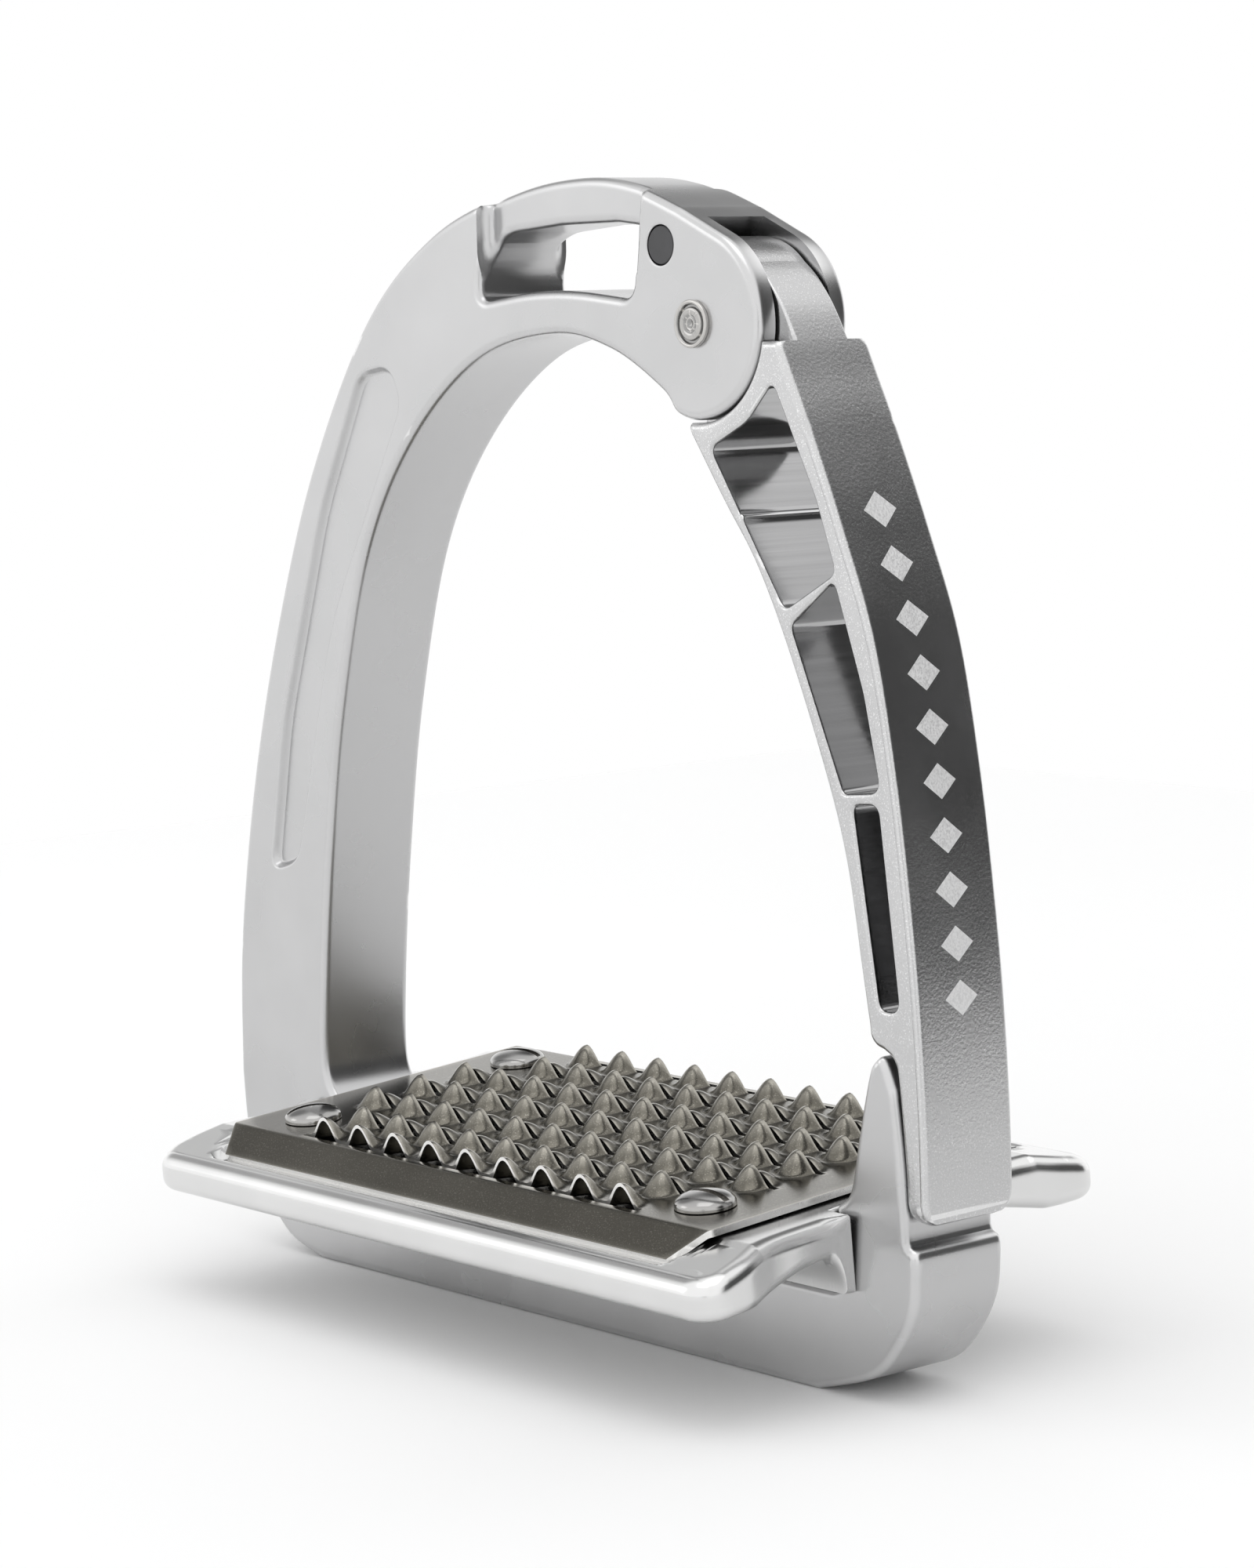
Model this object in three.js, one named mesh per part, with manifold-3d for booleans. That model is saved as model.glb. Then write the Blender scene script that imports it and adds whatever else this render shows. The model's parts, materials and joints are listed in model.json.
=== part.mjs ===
// Safety stirrup iron with a release arm, in millimetres, +Z up.
//
// The left branch, the arched top, the forked head, the base beam and the right-hand post are one
// forging. The right side of the opening is a hinged arm: it hangs from a pin in the head, laps
// over the post, and swings outwards to let the foot out. The tread is a cast tray on the beam,
// with a bent grater plate on top, tilted so that its front edge is lower.

import * as THREE from "three";
import { mergeVertices } from "three/addons/utils/BufferGeometryUtils.js";
import Module from "manifold-3d";

const wasm = await Module();
wasm.setup();

// ---------------------------------------------------------------------------------------------
// Driving dimensions. X = 0 is the middle of the foot opening while the outlines are drawn;
// the finished group is moved by CENTRE_SHIFT so that X = 0 is the middle of the whole iron.

const CENTRE_SHIFT = 4.6;
const GAP = 0.3; // between faces that touch on the real iron
const ROUND_STEPS = 5; // chords in the round of an outline's corner
const CIRCLE_STEPS = 32; // chords in a full circle

const FRAME = {
  depth: 14.5,
  edge: 0.6, // chamfer around the front and back faces
  beamTop: 12.7,
  barTop: 143.7,
};
const HEAD = {
  pin: [26.6, 125.7], // the hinge axis
  earRadius: 11.4,
  forkWidth: 9.1,
  forkRadius: 10.7,
  plug: [20.9, 135.1],
  plugRadius: 2.2,
};
const BAR = { left: -14, right: 16.6, flat: [0.5, 11], under: 138.1, recess: 1.4 };
const HUB = { radius: 10.2, camDrop: 1.8, camStart: 101, camSweep: 80, width: 8.4 };
const SCALLOP_RADIUS = 11.75; // the arm's shoulder around the ears
const PLUNGER = { angle: 176, radius: 1.3, length: 4.6, inner: 0.85, wall: 1.1 };
const PIN = { radius: 2.4, headRadius: 2.75, headHeight: 0.7 };
const BUSH = { inner: 2.7, outer: 3.5, length: 6.2 };
const WASHER = { inner: 2.8, outer: 5.2, thickness: 0.7, seatRadius: 5.5, seatDepth: 1.0 };
const POCKET_DEPTH = 1.0;

const TREAD = {
  centreX: -1.9,
  centreY: -0.45,
  height: 24.14, // top of the grater plate at the middle of the tread
  tilt: 4.5, // degrees, front edge low
};
const PLATE = {
  halfLength: 47.35,
  halfFlat: 24.2,
  flangeOut: 4.3,
  flangeDrop: 3.0,
  flangeTaper: 3.3,
  thickness: 1.0,
};
const TEETH = {
  slits: 7,
  slitPitch: 7.6,
  slitWidth: 1.2,
  count: 11,
  shortCount: 9,
  pitch: 7.4,
  halfWidth: 2.9,
  height: 2.9,
  length: 3.0,
};
const TRAY = {
  halfLength: 53.5, // at the waist, beside the frame
  lipHalfLength: 55.5,
  halfDepth: 33,
  top: -1.3,
  groove: -4.6,
  lipTop: -3.2,
  underside: -8.2,
  wall: 2.3,
  saddleHalfWidth: 9.3,
  bossRadius: 4.2,
};
const SCREW = { x: 38.9, y: 17.4, radius: 1.8, headRadius: 3.75, headHeight: 1.9, length: 7 };
const BOLT = { spacing: 20, count: 4, radius: 2.4, headRadius: 4.4, headDepth: 2.6, top: 18.2 };

// ---------------------------------------------------------------------------------------------
// Geometry helpers

const radians = (degrees) => (degrees * Math.PI) / 180;

// Points along a smooth curve through the given points.
function sweep(points, steps) {
  const curve = new THREE.SplineCurve(points.map(([x, y]) => new THREE.Vector2(x, y)));
  return curve.getPoints(steps).map((p) => [p.x, p.y]);
}

// Angles are in degrees, counted anticlockwise from +X.
function polar([x, y], radius, angle) {
  return [x + radius * Math.cos(radians(angle)), y + radius * Math.sin(radians(angle))];
}

function arc(centre, radius, from, to, steps) {
  const points = [];
  for (let i = 0; i <= steps; i += 1) {
    points.push(polar(centre, radius, from + ((to - from) * i) / steps));
  }
  return points;
}

// A polygon whose corners [x, y, radius] are rounded.
function rounded(corners) {
  const points = [];
  corners.forEach(([x, y, radius], i) => {
    const corner = new THREE.Vector2(x, y);
    const before = new THREE.Vector2(...corners.at(i - 1).slice(0, 2));
    const after = new THREE.Vector2(...corners[(i + 1) % corners.length].slice(0, 2));
    const back = before.sub(corner).normalize();
    const on = after.sub(corner).normalize();
    const half = Math.acos(THREE.MathUtils.clamp(back.dot(on), -1, 1)) / 2;
    const reach = radius / Math.tan(half);
    const start = corner.clone().addScaledVector(back, reach);
    const end = corner.clone().addScaledVector(on, reach);
    const curve = new THREE.QuadraticBezierCurve(start, corner, end);
    points.push(...curve.getPoints(ROUND_STEPS).map((p) => [p.x, p.y]));
  });
  return points;
}

function shapeOf(points) {
  return new THREE.Shape(points.map(([x, y]) => new THREE.Vector2(x, y)));
}

function extruded(points, length, chamfer) {
  return new THREE.ExtrudeGeometry(shapeOf(points), {
    depth: length - 2 * chamfer,
    bevelEnabled: chamfer > 0,
    bevelThickness: chamfer,
    bevelSize: chamfer,
    bevelOffset: -chamfer,
    bevelSegments: 1,
  }).translate(0, 0, chamfer);
}

// An XZ outline, solid from y = from to y = to.
function plateY(points, from, to, chamfer = 0) {
  return extruded(points, to - from, chamfer).rotateX(Math.PI / 2).translate(0, to, 0);
}

// A YZ outline, solid from x = from to x = to.
function plateX(points, from, to) {
  const axes = new THREE.Matrix4().makeBasis(
    new THREE.Vector3(0, 1, 0),
    new THREE.Vector3(0, 0, 1),
    new THREE.Vector3(1, 0, 0),
  );
  return extruded(points, to - from, 0).applyMatrix4(axes).translate(from, 0, 0);
}

// An XY outline, solid from z = from to z = to.
function plateZ(points, from, to) {
  return extruded(points, to - from, 0).translate(0, 0, from);
}

function box(x, y, z) {
  const geometry = new THREE.BoxGeometry(x[1] - x[0], y[1] - y[0], z[1] - z[0]);
  return geometry.translate((x[0] + x[1]) / 2, (y[0] + y[1]) / 2, (z[0] + z[1]) / 2);
}

// A solid of revolution about the Y axis through (x, z), from [radius, y] pairs.
function turnedY([x, z], profile) {
  const points = profile.map(([r, y]) => new THREE.Vector2(r, y));
  return new THREE.LatheGeometry(points, CIRCLE_STEPS).translate(x, 0, z);
}

function rodY([x, z], radius, from, to) {
  const length = to - from;
  const rod = new THREE.CylinderGeometry(radius, radius, length, CIRCLE_STEPS);
  return rod.translate(x, (from + to) / 2, z);
}

function ringProfile(inner, outer, from, to) {
  return [
    [inner, from],
    [outer, from],
    [outer, to],
    [inner, to],
    [inner, from],
  ];
}

// Turns a solid made about the Y axis so that its +Y points along +Z.
function upright(geometry) {
  return geometry.rotateX(Math.PI / 2);
}

// Shared corners are merged; a triangle left with two equal corners, at a pole, is dropped.
function toManifold(geometry) {
  const bare = geometry.clone();
  bare.deleteAttribute("normal");
  bare.deleteAttribute("uv");
  const merged = mergeVertices(bare, 1e-4);
  const index = merged.index.array;
  const triangles = [];
  for (let i = 0; i < index.length; i += 3) {
    const [a, b, c] = index.slice(i, i + 3);
    if (a !== b && b !== c && c !== a) {
      triangles.push(a, b, c);
    }
  }
  return new wasm.Manifold(
    new wasm.Mesh({
      numProp: 3,
      vertProperties: new Float32Array(merged.attributes.position.array),
      triVerts: new Uint32Array(triangles),
    }),
  );
}

function toGeometry(manifold) {
  const mesh = manifold.getMesh();
  const geometry = new THREE.BufferGeometry();
  geometry.setAttribute("position", new THREE.BufferAttribute(mesh.vertProperties, 3));
  geometry.setIndex(new THREE.BufferAttribute(mesh.triVerts, 1));
  geometry.computeVertexNormals();
  return geometry;
}

// The first geometry joined with `added` and cut by `removed`.
function carved(base, added, removed) {
  let solid = toManifold(base);
  for (const piece of added) {
    solid = solid.add(toManifold(piece));
  }
  for (const piece of removed) {
    solid = solid.subtract(toManifold(piece));
  }
  return toGeometry(solid);
}

function common(first, second) {
  return toGeometry(toManifold(first).intersect(toManifold(second)));
}

const iron = new THREE.Group();
iron.position.x = CENTRE_SHIFT;

const FINISH = {
  satin: { color: 0xc9cacb, metalness: 0.9, roughness: 0.4 },
  armSatin: { color: 0xbfc0c1, metalness: 0.9, roughness: 0.38 },
  polished: { color: 0xd6d6d4, metalness: 1.0, roughness: 0.16 },
  grater: { color: 0x6f6a5f, metalness: 0.9, roughness: 0.4 },
  steel: { color: 0xb9b6b0, metalness: 1.0, roughness: 0.25 },
  spring: { color: 0x8b8c8f, metalness: 1.0, roughness: 0.3 },
  bronze: { color: 0xa8814a, metalness: 0.9, roughness: 0.4 },
  nylon: { color: 0x2c2c2e, metalness: 0.0, roughness: 0.6 },
};

function place(name, geometry, finish) {
  const material = new THREE.MeshStandardMaterial(FINISH[finish]);
  const mesh = new THREE.Mesh(geometry, material);
  mesh.name = name;
  iron.add(mesh);
}

// ---------------------------------------------------------------------------------------------
// Frame

const FACE = FRAME.depth / 2;

// The post's outer side; the arm's lap keeps a gap of LAP_GAP to it.
const POST_OUTER = [
  [59.7, 20.2],
  [59.2, 29],
  [58.1, 38],
];
const LAP_GAP = 0.45;

function frameOutline() {
  const baseRight = sweep([[61.2, 16.6], [60.6, 12], [57.8, 7], [53.4, 3], [44, 0]], 12);
  const baseLeft = sweep([[-55, 0], [-62.4, 2.2], [-67.4, 7.4], [-71.2, 15], [-72.3, 24]], 12);
  const outerBranch = sweep(
    [[-71.4, 42], [-67.2, 64], [-60.4, 86], [-51.2, 107.4], [-38, 127], [-23.6, 137.6], [-8, 142.4]],
    24,
  );
  const crown = sweep([[5, FRAME.barTop], [15, 142.5], [24, 139.4]], 6);
  const ear = arc(HEAD.pin, HEAD.earRadius, 64, -106, 22);
  const arch = sweep(
    [[20, 118.4], [11, 122.8], [0, 124.8], [-15, 121.9], [-29, 112], [-39.4, 97.4], [-46.2, 76]],
    24,
  );
  const innerBranch = sweep([[-50, 55], [-52, 38], [-52.4, 27], [-50.3, 22.9]], 9);
  const postInner = sweep([[48, 22.7], [50.2, 24.8], [51.8, 31.5], [53.6, 38.6]], 8);
  return [
    [59.7, 19.4],
    [60.8, 18.9],
    ...baseRight,
    ...baseLeft,
    ...outerBranch,
    ...crown,
    ...ear,
    ...arch,
    ...innerBranch,
    [-50.3, FRAME.beamTop],
    [48, FRAME.beamTop],
    ...postInner,
    [55, 40.6],
    [56.7, 41.2],
    ...POST_OUTER.toReversed(),
  ];
}

function leatherSlot() {
  return rounded([
    [BAR.left, 137.1, 6.5],
    [BAR.left, 129, 1.4],
    [0, 130.6, 12],
    [15.4, 128.8, 1.6],
    [BAR.right, 137.4, 1.0],
    [BAR.flat[1], BAR.under, 0.4],
    [BAR.flat[0], BAR.under, 0.4],
  ]);
}

// The fork between the ears: a round room for the hub that opens to the right and downwards.
function forkOutline() {
  const room = arc(HEAD.pin, HEAD.forkRadius, 104, 250, 18);
  return [[27.2, 139], [27.2, 146], [50, 146], [50, 100], [22.9, 100], ...room.reverse()];
}

function branchPocket() {
  return rounded([
    [-40, 120.6, 2.2],
    [-33, 121.6, 3],
    [-30.6, 116.4, 2],
    [-47.6, 87, 30],
    [-56.8, 54.4, 2.4],
    [-63.6, 52.4, 2],
    [-59.6, 73.6, 30],
    [-49.6, 102.4, 30],
  ]);
}

function plungerPoint(distance) {
  const angle = radians(PLUNGER.angle);
  const [x, z] = HEAD.pin;
  return new THREE.Vector3(x + distance * Math.cos(angle), 0, z + distance * Math.sin(angle));
}

// A piece turned about the plunger's axis, from [radius, distance from the hinge axis] pairs.
function onPlungerAxis(profile) {
  const points = profile.map(([r, along]) => new THREE.Vector2(r, along));
  const lathe = new THREE.LatheGeometry(points, CIRCLE_STEPS / 2);
  lathe.rotateZ(radians(PLUNGER.angle - 90)).rotateX(Math.PI / 2);
  return lathe.translate(HEAD.pin[0], 0, HEAD.pin[1]);
}

function boltX(index) {
  return TREAD.centreX + (index - (BOLT.count - 1) / 2) * BOLT.spacing;
}

function boltSolid(index, slack) {
  const profile = [
    [0, 0.4 - 4 * slack],
    [BOLT.headRadius + slack, 0.4 - 4 * slack],
    [BOLT.headRadius + slack, 0.5],
    [BOLT.radius + slack, 0.5 + BOLT.headDepth],
    [BOLT.radius + slack, BOLT.top + slack],
    [0, BOLT.top + slack],
  ];
  return upright(turnedY([0, 0], profile)).translate(boltX(index), 0, 0);
}

function rectangle(left, right, low, high) {
  return [[left, low], [right, low], [right, high], [left, high]];
}

// From `depth` inside the front (side -1) or back (side 1) face to just outside it.
function faceCut(side, depth) {
  const ends = [side * (FACE - depth), side * (FACE + 1)];
  return ends.sort((a, b) => a - b);
}

function makeFrame() {
  const body = plateY(frameOutline(), -FACE, FACE, FRAME.edge);
  const recess = rectangle(BAR.left + 0.6, BAR.right - 0.2, 133, FRAME.barTop + 3);
  const earThickness = FACE - HEAD.forkWidth / 2;
  const cuts = [
    plateY(leatherSlot(), -FACE - 1, FACE + 1),
    plateY(forkOutline(), -HEAD.forkWidth / 2, HEAD.forkWidth / 2),
    rodY(HEAD.pin, PIN.radius + GAP, -FACE - 1, FACE + 1),
    onPlungerAxis([[0, 8], [1.6, 8], [1.6, 19.8], [0, 19.8]]),
  ];
  for (const side of [-1, 1]) {
    cuts.push(plateY(branchPocket(), ...faceCut(side, POCKET_DEPTH)));
    cuts.push(plateY(recess, ...faceCut(side, BAR.recess)));
    cuts.push(rodY(HEAD.plug, HEAD.plugRadius + GAP, ...faceCut(side, earThickness - 0.1)));
  }
  for (let i = 0; i < BOLT.count; i += 1) {
    cuts.push(boltSolid(i, GAP));
  }
  place("frame", carved(body, [], cuts), "satin");
}

function makePlugs() {
  const inner = HEAD.forkWidth / 2 + 0.4;
  place("ear_plug_front", rodY(HEAD.plug, HEAD.plugRadius, -FACE, -inner), "nylon");
  place("ear_plug_rear", rodY(HEAD.plug, HEAD.plugRadius, inner, FACE), "nylon");
}

// ---------------------------------------------------------------------------------------------
// Release arm and its hinge

// The hub's radius falls steadily over camSweep, so the plunger moves at a constant ratio.
function hubRim() {
  const rim = arc(HEAD.pin, HUB.radius, 40, HUB.camStart, 8);
  const steps = 12;
  for (let i = 1; i <= steps; i += 1) {
    const radius = HUB.radius - (HUB.camDrop * i) / steps;
    const angle = HUB.camStart + (HUB.camSweep * i) / steps;
    rim.push(polar(HEAD.pin, radius, angle));
  }
  rim.push(...arc(HEAD.pin, HUB.radius - HUB.camDrop, 190, 236, 5));
  return rim;
}

const ARM_INNER = [
  [26, 111.8],
  [31, 104.8],
  [36.4, 97.5],
  [41.6, 87.6],
  [47.6, 73.4],
  [50.8, 63.4],
  [53, 51],
  [54, 45.4],
];
const ARM_OUTER = [
  [63.1, 24],
  [62.9, 33],
  [62.4, 45],
  [61.3, 57],
  [59.2, 73],
  [56, 89],
  [51.2, 101.6],
  [46.2, 113],
  [41.6, 122.9],
];

function armOutline() {
  const lap = POST_OUTER.toReversed().map(([x, z]) => [x + LAP_GAP, z]);
  const lapInner = [lap[0], lap[1], [59.9, 24.4]];
  return [
    ...arc(HEAD.pin, SCALLOP_RADIUS, -8, -97, 14),
    ...sweep(ARM_INNER, 16),
    ...sweep([[54.2, 43.6], [55, 42.5], [56.6, 42.2], [57.9, 41.4]], 6),
    ...lapInner,
    [60.3, 22.8],
    [61.4, 21.9],
    [62.6, 22.3],
    ...sweep(ARM_OUTER, 18),
  ];
}

function tongueOutline() {
  const flare = sweep([[42, 120], [40.6, 124.2], [38.6, 127.9], [36.2, 130.6]], 6);
  return [...flare, ...hubRim(), [24.2, 115.4], [27, 111], [38, 112]];
}

function armWindows() {
  return [
    rounded([
      [40, 118.8, 1.1],
      [35.2, 114, 7],
      [28.8, 111, 1.2],
      [41.2, 92.3, 1.6],
      [50, 96.9, 1.4],
      [46.9, 105.4, 12],
    ]),
    rounded([[49.7, 96, 1.0], [42.1, 90.5, 1.3], [50.5, 71.4, 1.3], [56.7, 72, 1.6], [54.2, 83.2, 20]]),
    rounded([[52, 70.3, 1.3], [56.3, 70.5, 1.6], [59.2, 46.8, 1.5], [55.9, 46.7, 1.5]]),
  ];
}

function makeArm() {
  const body = plateY(armOutline(), -FACE, FACE, FRAME.edge);
  const tongue = plateY(tongueOutline(), -HUB.width / 2, HUB.width / 2);
  const cuts = armWindows().map((window) => plateY(window, -FACE - 1, FACE + 1));
  const bore = BUSH.outer + GAP;
  const seat = HUB.width / 2 - WASHER.seatDepth;
  cuts.push(rodY(HEAD.pin, bore, -FACE, FACE));
  cuts.push(rodY(HEAD.pin, WASHER.seatRadius, -FACE, -seat));
  cuts.push(rodY(HEAD.pin, WASHER.seatRadius, seat, FACE));
  place("release_arm", carved(body, [tongue], cuts), "armSatin");
}

function makeHinge() {
  const start = FACE + 0.15;
  const end = start + PIN.headHeight;
  const pin = [
    [0, -end],
    [PIN.headRadius - 0.5, -end],
    [PIN.headRadius, -end + 0.4],
    [PIN.headRadius, -start],
    [PIN.radius, -start],
    [PIN.radius, start],
    [PIN.headRadius, start],
    [PIN.headRadius, end - 0.4],
    [PIN.headRadius - 0.5, end],
    [0, end],
  ];
  place("hinge_pin", turnedY(HEAD.pin, pin), "steel");
  const half = BUSH.length / 2;
  place("hinge_bush", turnedY(HEAD.pin, ringProfile(BUSH.inner, BUSH.outer, -half, half)), "bronze");
  const outerFace = HEAD.forkWidth / 2 - 0.15;
  const innerFace = outerFace - WASHER.thickness;
  const front = ringProfile(WASHER.inner, WASHER.outer, -outerFace, -innerFace);
  const rear = ringProfile(WASHER.inner, WASHER.outer, innerFace, outerFace);
  place("thrust_washer_front", turnedY(HEAD.pin, front), "bronze");
  place("thrust_washer_rear", turnedY(HEAD.pin, rear), "bronze");
}

// The plunger is a cup: its closed end bears on the hub's cam, and the spring sits inside it.
function makeCloser() {
  const contact = HUB.radius - (HUB.camDrop * (PLUNGER.angle - HUB.camStart)) / HUB.camSweep;
  const tip = contact + 0.25;
  const back = tip + PLUNGER.length;
  const cup = [
    [0, tip],
    [PLUNGER.radius - 0.5, tip],
    [PLUNGER.radius, tip + 0.5],
    [PLUNGER.radius, back],
    [PLUNGER.inner, back],
    [PLUNGER.inner, tip + PLUNGER.wall],
    [0, tip + PLUNGER.wall],
  ];
  place("closing_plunger", onPlungerAxis(cup), "steel");
  place("closing_spring", springCoil(back - 0.9, 19.5), "spring");
}

function springCoil(from, to) {
  const turns = 7;
  const wire = 0.18;
  const radius = 0.55;
  class Coil extends THREE.Curve {
    getPoint(t) {
      const angle = t * turns * 2 * Math.PI;
      const along = from + wire + t * (to - from - 2 * wire);
      const middle = plungerPoint(along);
      const tilt = radians(PLUNGER.angle + 90);
      const sideways = radius * Math.cos(angle);
      return new THREE.Vector3(
        middle.x + sideways * Math.cos(tilt),
        radius * Math.sin(angle),
        middle.z + sideways * Math.sin(tilt),
      );
    }
  }
  const section = shapeOf(arc([0, 0], wire, 0, 300, 5));
  return new THREE.ExtrudeGeometry(section, { steps: turns * 12, extrudePath: new Coil() });
}

// ---------------------------------------------------------------------------------------------
// Tread: everything here is drawn level, about the middle of the tread, with the plate's top at
// height 0, and then tilted and lifted into place.

const TILT = new THREE.Matrix4()
  .makeRotationX(radians(TREAD.tilt))
  .setPosition(TREAD.centreX, TREAD.centreY, TREAD.height);

function tilted(geometry) {
  return geometry.applyMatrix4(TILT);
}

function mirrored(half) {
  const other = half.toReversed().map(([a, b]) => [-a, b]);
  return [...half, ...other];
}

// One quarter of the tray's plan, from the waist to the front corner.
function trayPlan() {
  const end = sweep([[TRAY.halfLength, 16], [TRAY.halfLength + 0.4, 21], [TRAY.lipHalfLength, 28]], 6);
  const corner = arc([TRAY.lipHalfLength - 3.5, TRAY.halfDepth - 3.5], 3.5, 0, 90, 5);
  const quarter = [...end, ...corner];
  const right = [...quarter.toReversed(), ...quarter.map(([x, y]) => [x, -y])];
  return mirrored(right);
}

function traySection() {
  return mirrored([
    [23, TRAY.top],
    [28, TRAY.groove],
    [29.6, TRAY.groove],
    [31, TRAY.lipTop],
    [32.2, TRAY.lipTop],
    [TRAY.halfDepth + 0.1, TRAY.lipTop - 0.9],
    [TRAY.halfDepth + 0.1, TRAY.underside],
  ]);
}

function trayCavity(side) {
  const low = TRAY.underside - 1;
  const points = [
    [TRAY.saddleHalfWidth, low],
    [TRAY.saddleHalfWidth, TRAY.top - TRAY.wall],
    [21, TRAY.top - TRAY.wall],
    [26.4, TRAY.groove - 1.9],
    [TRAY.halfDepth - TRAY.wall, TRAY.groove - 1.9],
    [TRAY.halfDepth - TRAY.wall, low],
  ];
  return points.map(([y, z]) => [y * side, z]);
}

function corners() {
  const places = [];
  for (const [depth, y] of [["front", -SCREW.y], ["rear", SCREW.y]]) {
    for (const [hand, x] of [["left", -SCREW.x], ["right", SCREW.x]]) {
      places.push({ name: `${depth}_${hand}`, x, y });
    }
  }
  return places;
}

function rodZ(x, y, radius, from, to) {
  const rod = new THREE.CylinderGeometry(radius, radius, to - from, CIRCLE_STEPS / 2);
  return upright(rod).translate(x, y, (from + to) / 2);
}

function makeTray() {
  const reach = TRAY.lipHalfLength + 1;
  const slab = plateZ(trayPlan(), TRAY.underside, TRAY.top);
  const level = common(slab, plateX(traySection(), -reach, reach));
  const inside = TRAY.halfLength - TRAY.wall;
  const cavities = [-1, 1].map((side) => tilted(plateX(trayCavity(side), -inside, inside)));
  const bosses = corners().map(({ x, y }) =>
    tilted(rodZ(x, y, TRAY.bossRadius, TRAY.underside + 0.2, TRAY.top - 1)),
  );
  const screwHoles = corners().map(({ x, y }) =>
    tilted(rodZ(x, y, SCREW.radius + GAP, -SCREW.length - GAP, 1)),
  );
  const left = TREAD.centreX - TRAY.halfLength;
  const right = TREAD.centreX + TRAY.halfLength;
  const saddleWidth = TRAY.saddleHalfWidth;
  const seat = FRAME.beamTop + GAP;
  const saddle = box([left, right], [-saddleWidth, saddleWidth], [seat, TREAD.height - 4]);
  const notchDepth = FACE + GAP;
  const cuts = [
    ...screwHoles,
    box([left - 5, -50.3 + GAP], [-notchDepth, notchDepth], [5, 30]),
    box([48 - GAP, right + 5], [-notchDepth, notchDepth], [5, 30]),
  ];
  for (let i = 0; i < BOLT.count; i += 1) {
    cuts.push(boltSolid(i, GAP));
  }
  const shell = carved(tilted(level), [], cavities);
  place("tread_tray", carved(shell, [...bosses, saddle], cuts), "polished");
}

function plateSection() {
  const { halfFlat, flangeOut, flangeDrop, thickness } = PLATE;
  const shift = thickness * 0.32;
  return mirrored([
    [halfFlat - shift, -thickness],
    [halfFlat + flangeOut - 0.6, -flangeDrop - 0.8],
    [halfFlat + flangeOut, -flangeDrop],
    [halfFlat, 0],
  ]);
}

function platePlan() {
  const { halfLength, halfFlat, flangeOut, flangeTaper } = PLATE;
  const outer = halfFlat + flangeOut;
  return mirrored([
    [halfLength - flangeTaper, outer + 0.1],
    [halfLength, halfFlat],
    [halfLength, -halfFlat],
    [halfLength - flangeTaper, -outer - 0.1],
  ]);
}

// A punched tooth: its open mouth stands on the slit's edge and it runs down to nothing.
function tooth(x, y, side) {
  const { halfWidth, height, length } = TEETH;
  const sunk = -0.4;
  const mouth = y + (side * TEETH.slitWidth) / 2;
  const outline = [[x - halfWidth, sunk], [x + halfWidth, sunk], [x, height]];
  const tail = [x, mouth + side * length, sunk];
  const corner = outline.map(([a, b]) => [a, mouth, b]);
  const faces = [[0, 2, 1], [0, 1, 3], [1, 2, 3], [2, 0, 3]];
  const points = [...corner, tail];
  const positions = [];
  for (const face of faces) {
    const order = side > 0 ? face.toReversed() : face;
    for (const index of order) {
      positions.push(...points[index]);
    }
  }
  const geometry = new THREE.BufferGeometry();
  geometry.setAttribute("position", new THREE.BufferAttribute(new Float32Array(positions), 3));
  return geometry;
}

function makePlate() {
  const reach = PLATE.halfLength + 1;
  const bent = plateX(plateSection(), -reach, reach);
  const sheet = common(bent, plateZ(platePlan(), -6, 1));
  const teeth = [];
  const cuts = corners().map(({ x, y }) => rodZ(x, y, SCREW.radius + GAP, -2, 1));
  const last = TEETH.slits - 1;
  for (let i = 0; i <= last; i += 1) {
    const y = (i - last / 2) * TEETH.slitPitch;
    const count = Math.abs(y) > SCREW.y - 6 ? TEETH.shortCount : TEETH.count;
    const half = ((count - 1) / 2) * TEETH.pitch;
    const slit = rectangle(-half - 3.4, half + 3.4, y - TEETH.slitWidth / 2, y + TEETH.slitWidth / 2);
    cuts.push(plateZ(slit, -2, TEETH.height + 1));
    for (let j = 0; j < count; j += 1) {
      const x = -half + j * TEETH.pitch;
      if (i < last) {
        teeth.push(tooth(x, y, 1));
      }
      if (i > 0) {
        teeth.push(tooth(x, y, -1));
      }
    }
  }
  place("grater_plate", tilted(carved(sheet, teeth, cuts)), "grater");
}

function makeScrews() {
  const { radius, headRadius, headHeight, length } = SCREW;
  const seat = 0.15;
  const dome = [];
  const steps = 5;
  for (let i = 0; i <= steps; i += 1) {
    const angle = (i / steps) * (Math.PI / 2);
    dome.push([headRadius * Math.cos(angle), seat + 0.5 + (headHeight - 0.5) * Math.sin(angle)]);
  }
  dome[steps] = [0, seat + headHeight];
  const profile = [[0, -length], [radius, -length], [radius, seat], [headRadius, seat], ...dome];
  for (const { name, x, y } of corners()) {
    const blank = upright(turnedY([0, 0], profile)).translate(x, y, 0);
    const slot = box([x - 4, x + 4], [y - 0.45, y + 0.45], [1.2, 3]);
    place(`plate_screw_${name}`, tilted(carved(blank, [], [slot])), "steel");
  }
}

function makeBolts() {
  for (let i = 0; i < BOLT.count; i += 1) {
    place(`tray_bolt_${i + 1}`, boltSolid(i, 0), "steel");
  }
}

makeFrame();
makePlugs();
makeArm();
makeHinge();
makeCloser();
makeTray();
makePlate();
makeScrews();
makeBolts();

export default iron;
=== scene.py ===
import json
import math

import bmesh
import bpy
import numpy as np
from mathutils import Matrix, Vector
from mathutils.geometry import delaunay_2d_cdt


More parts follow.
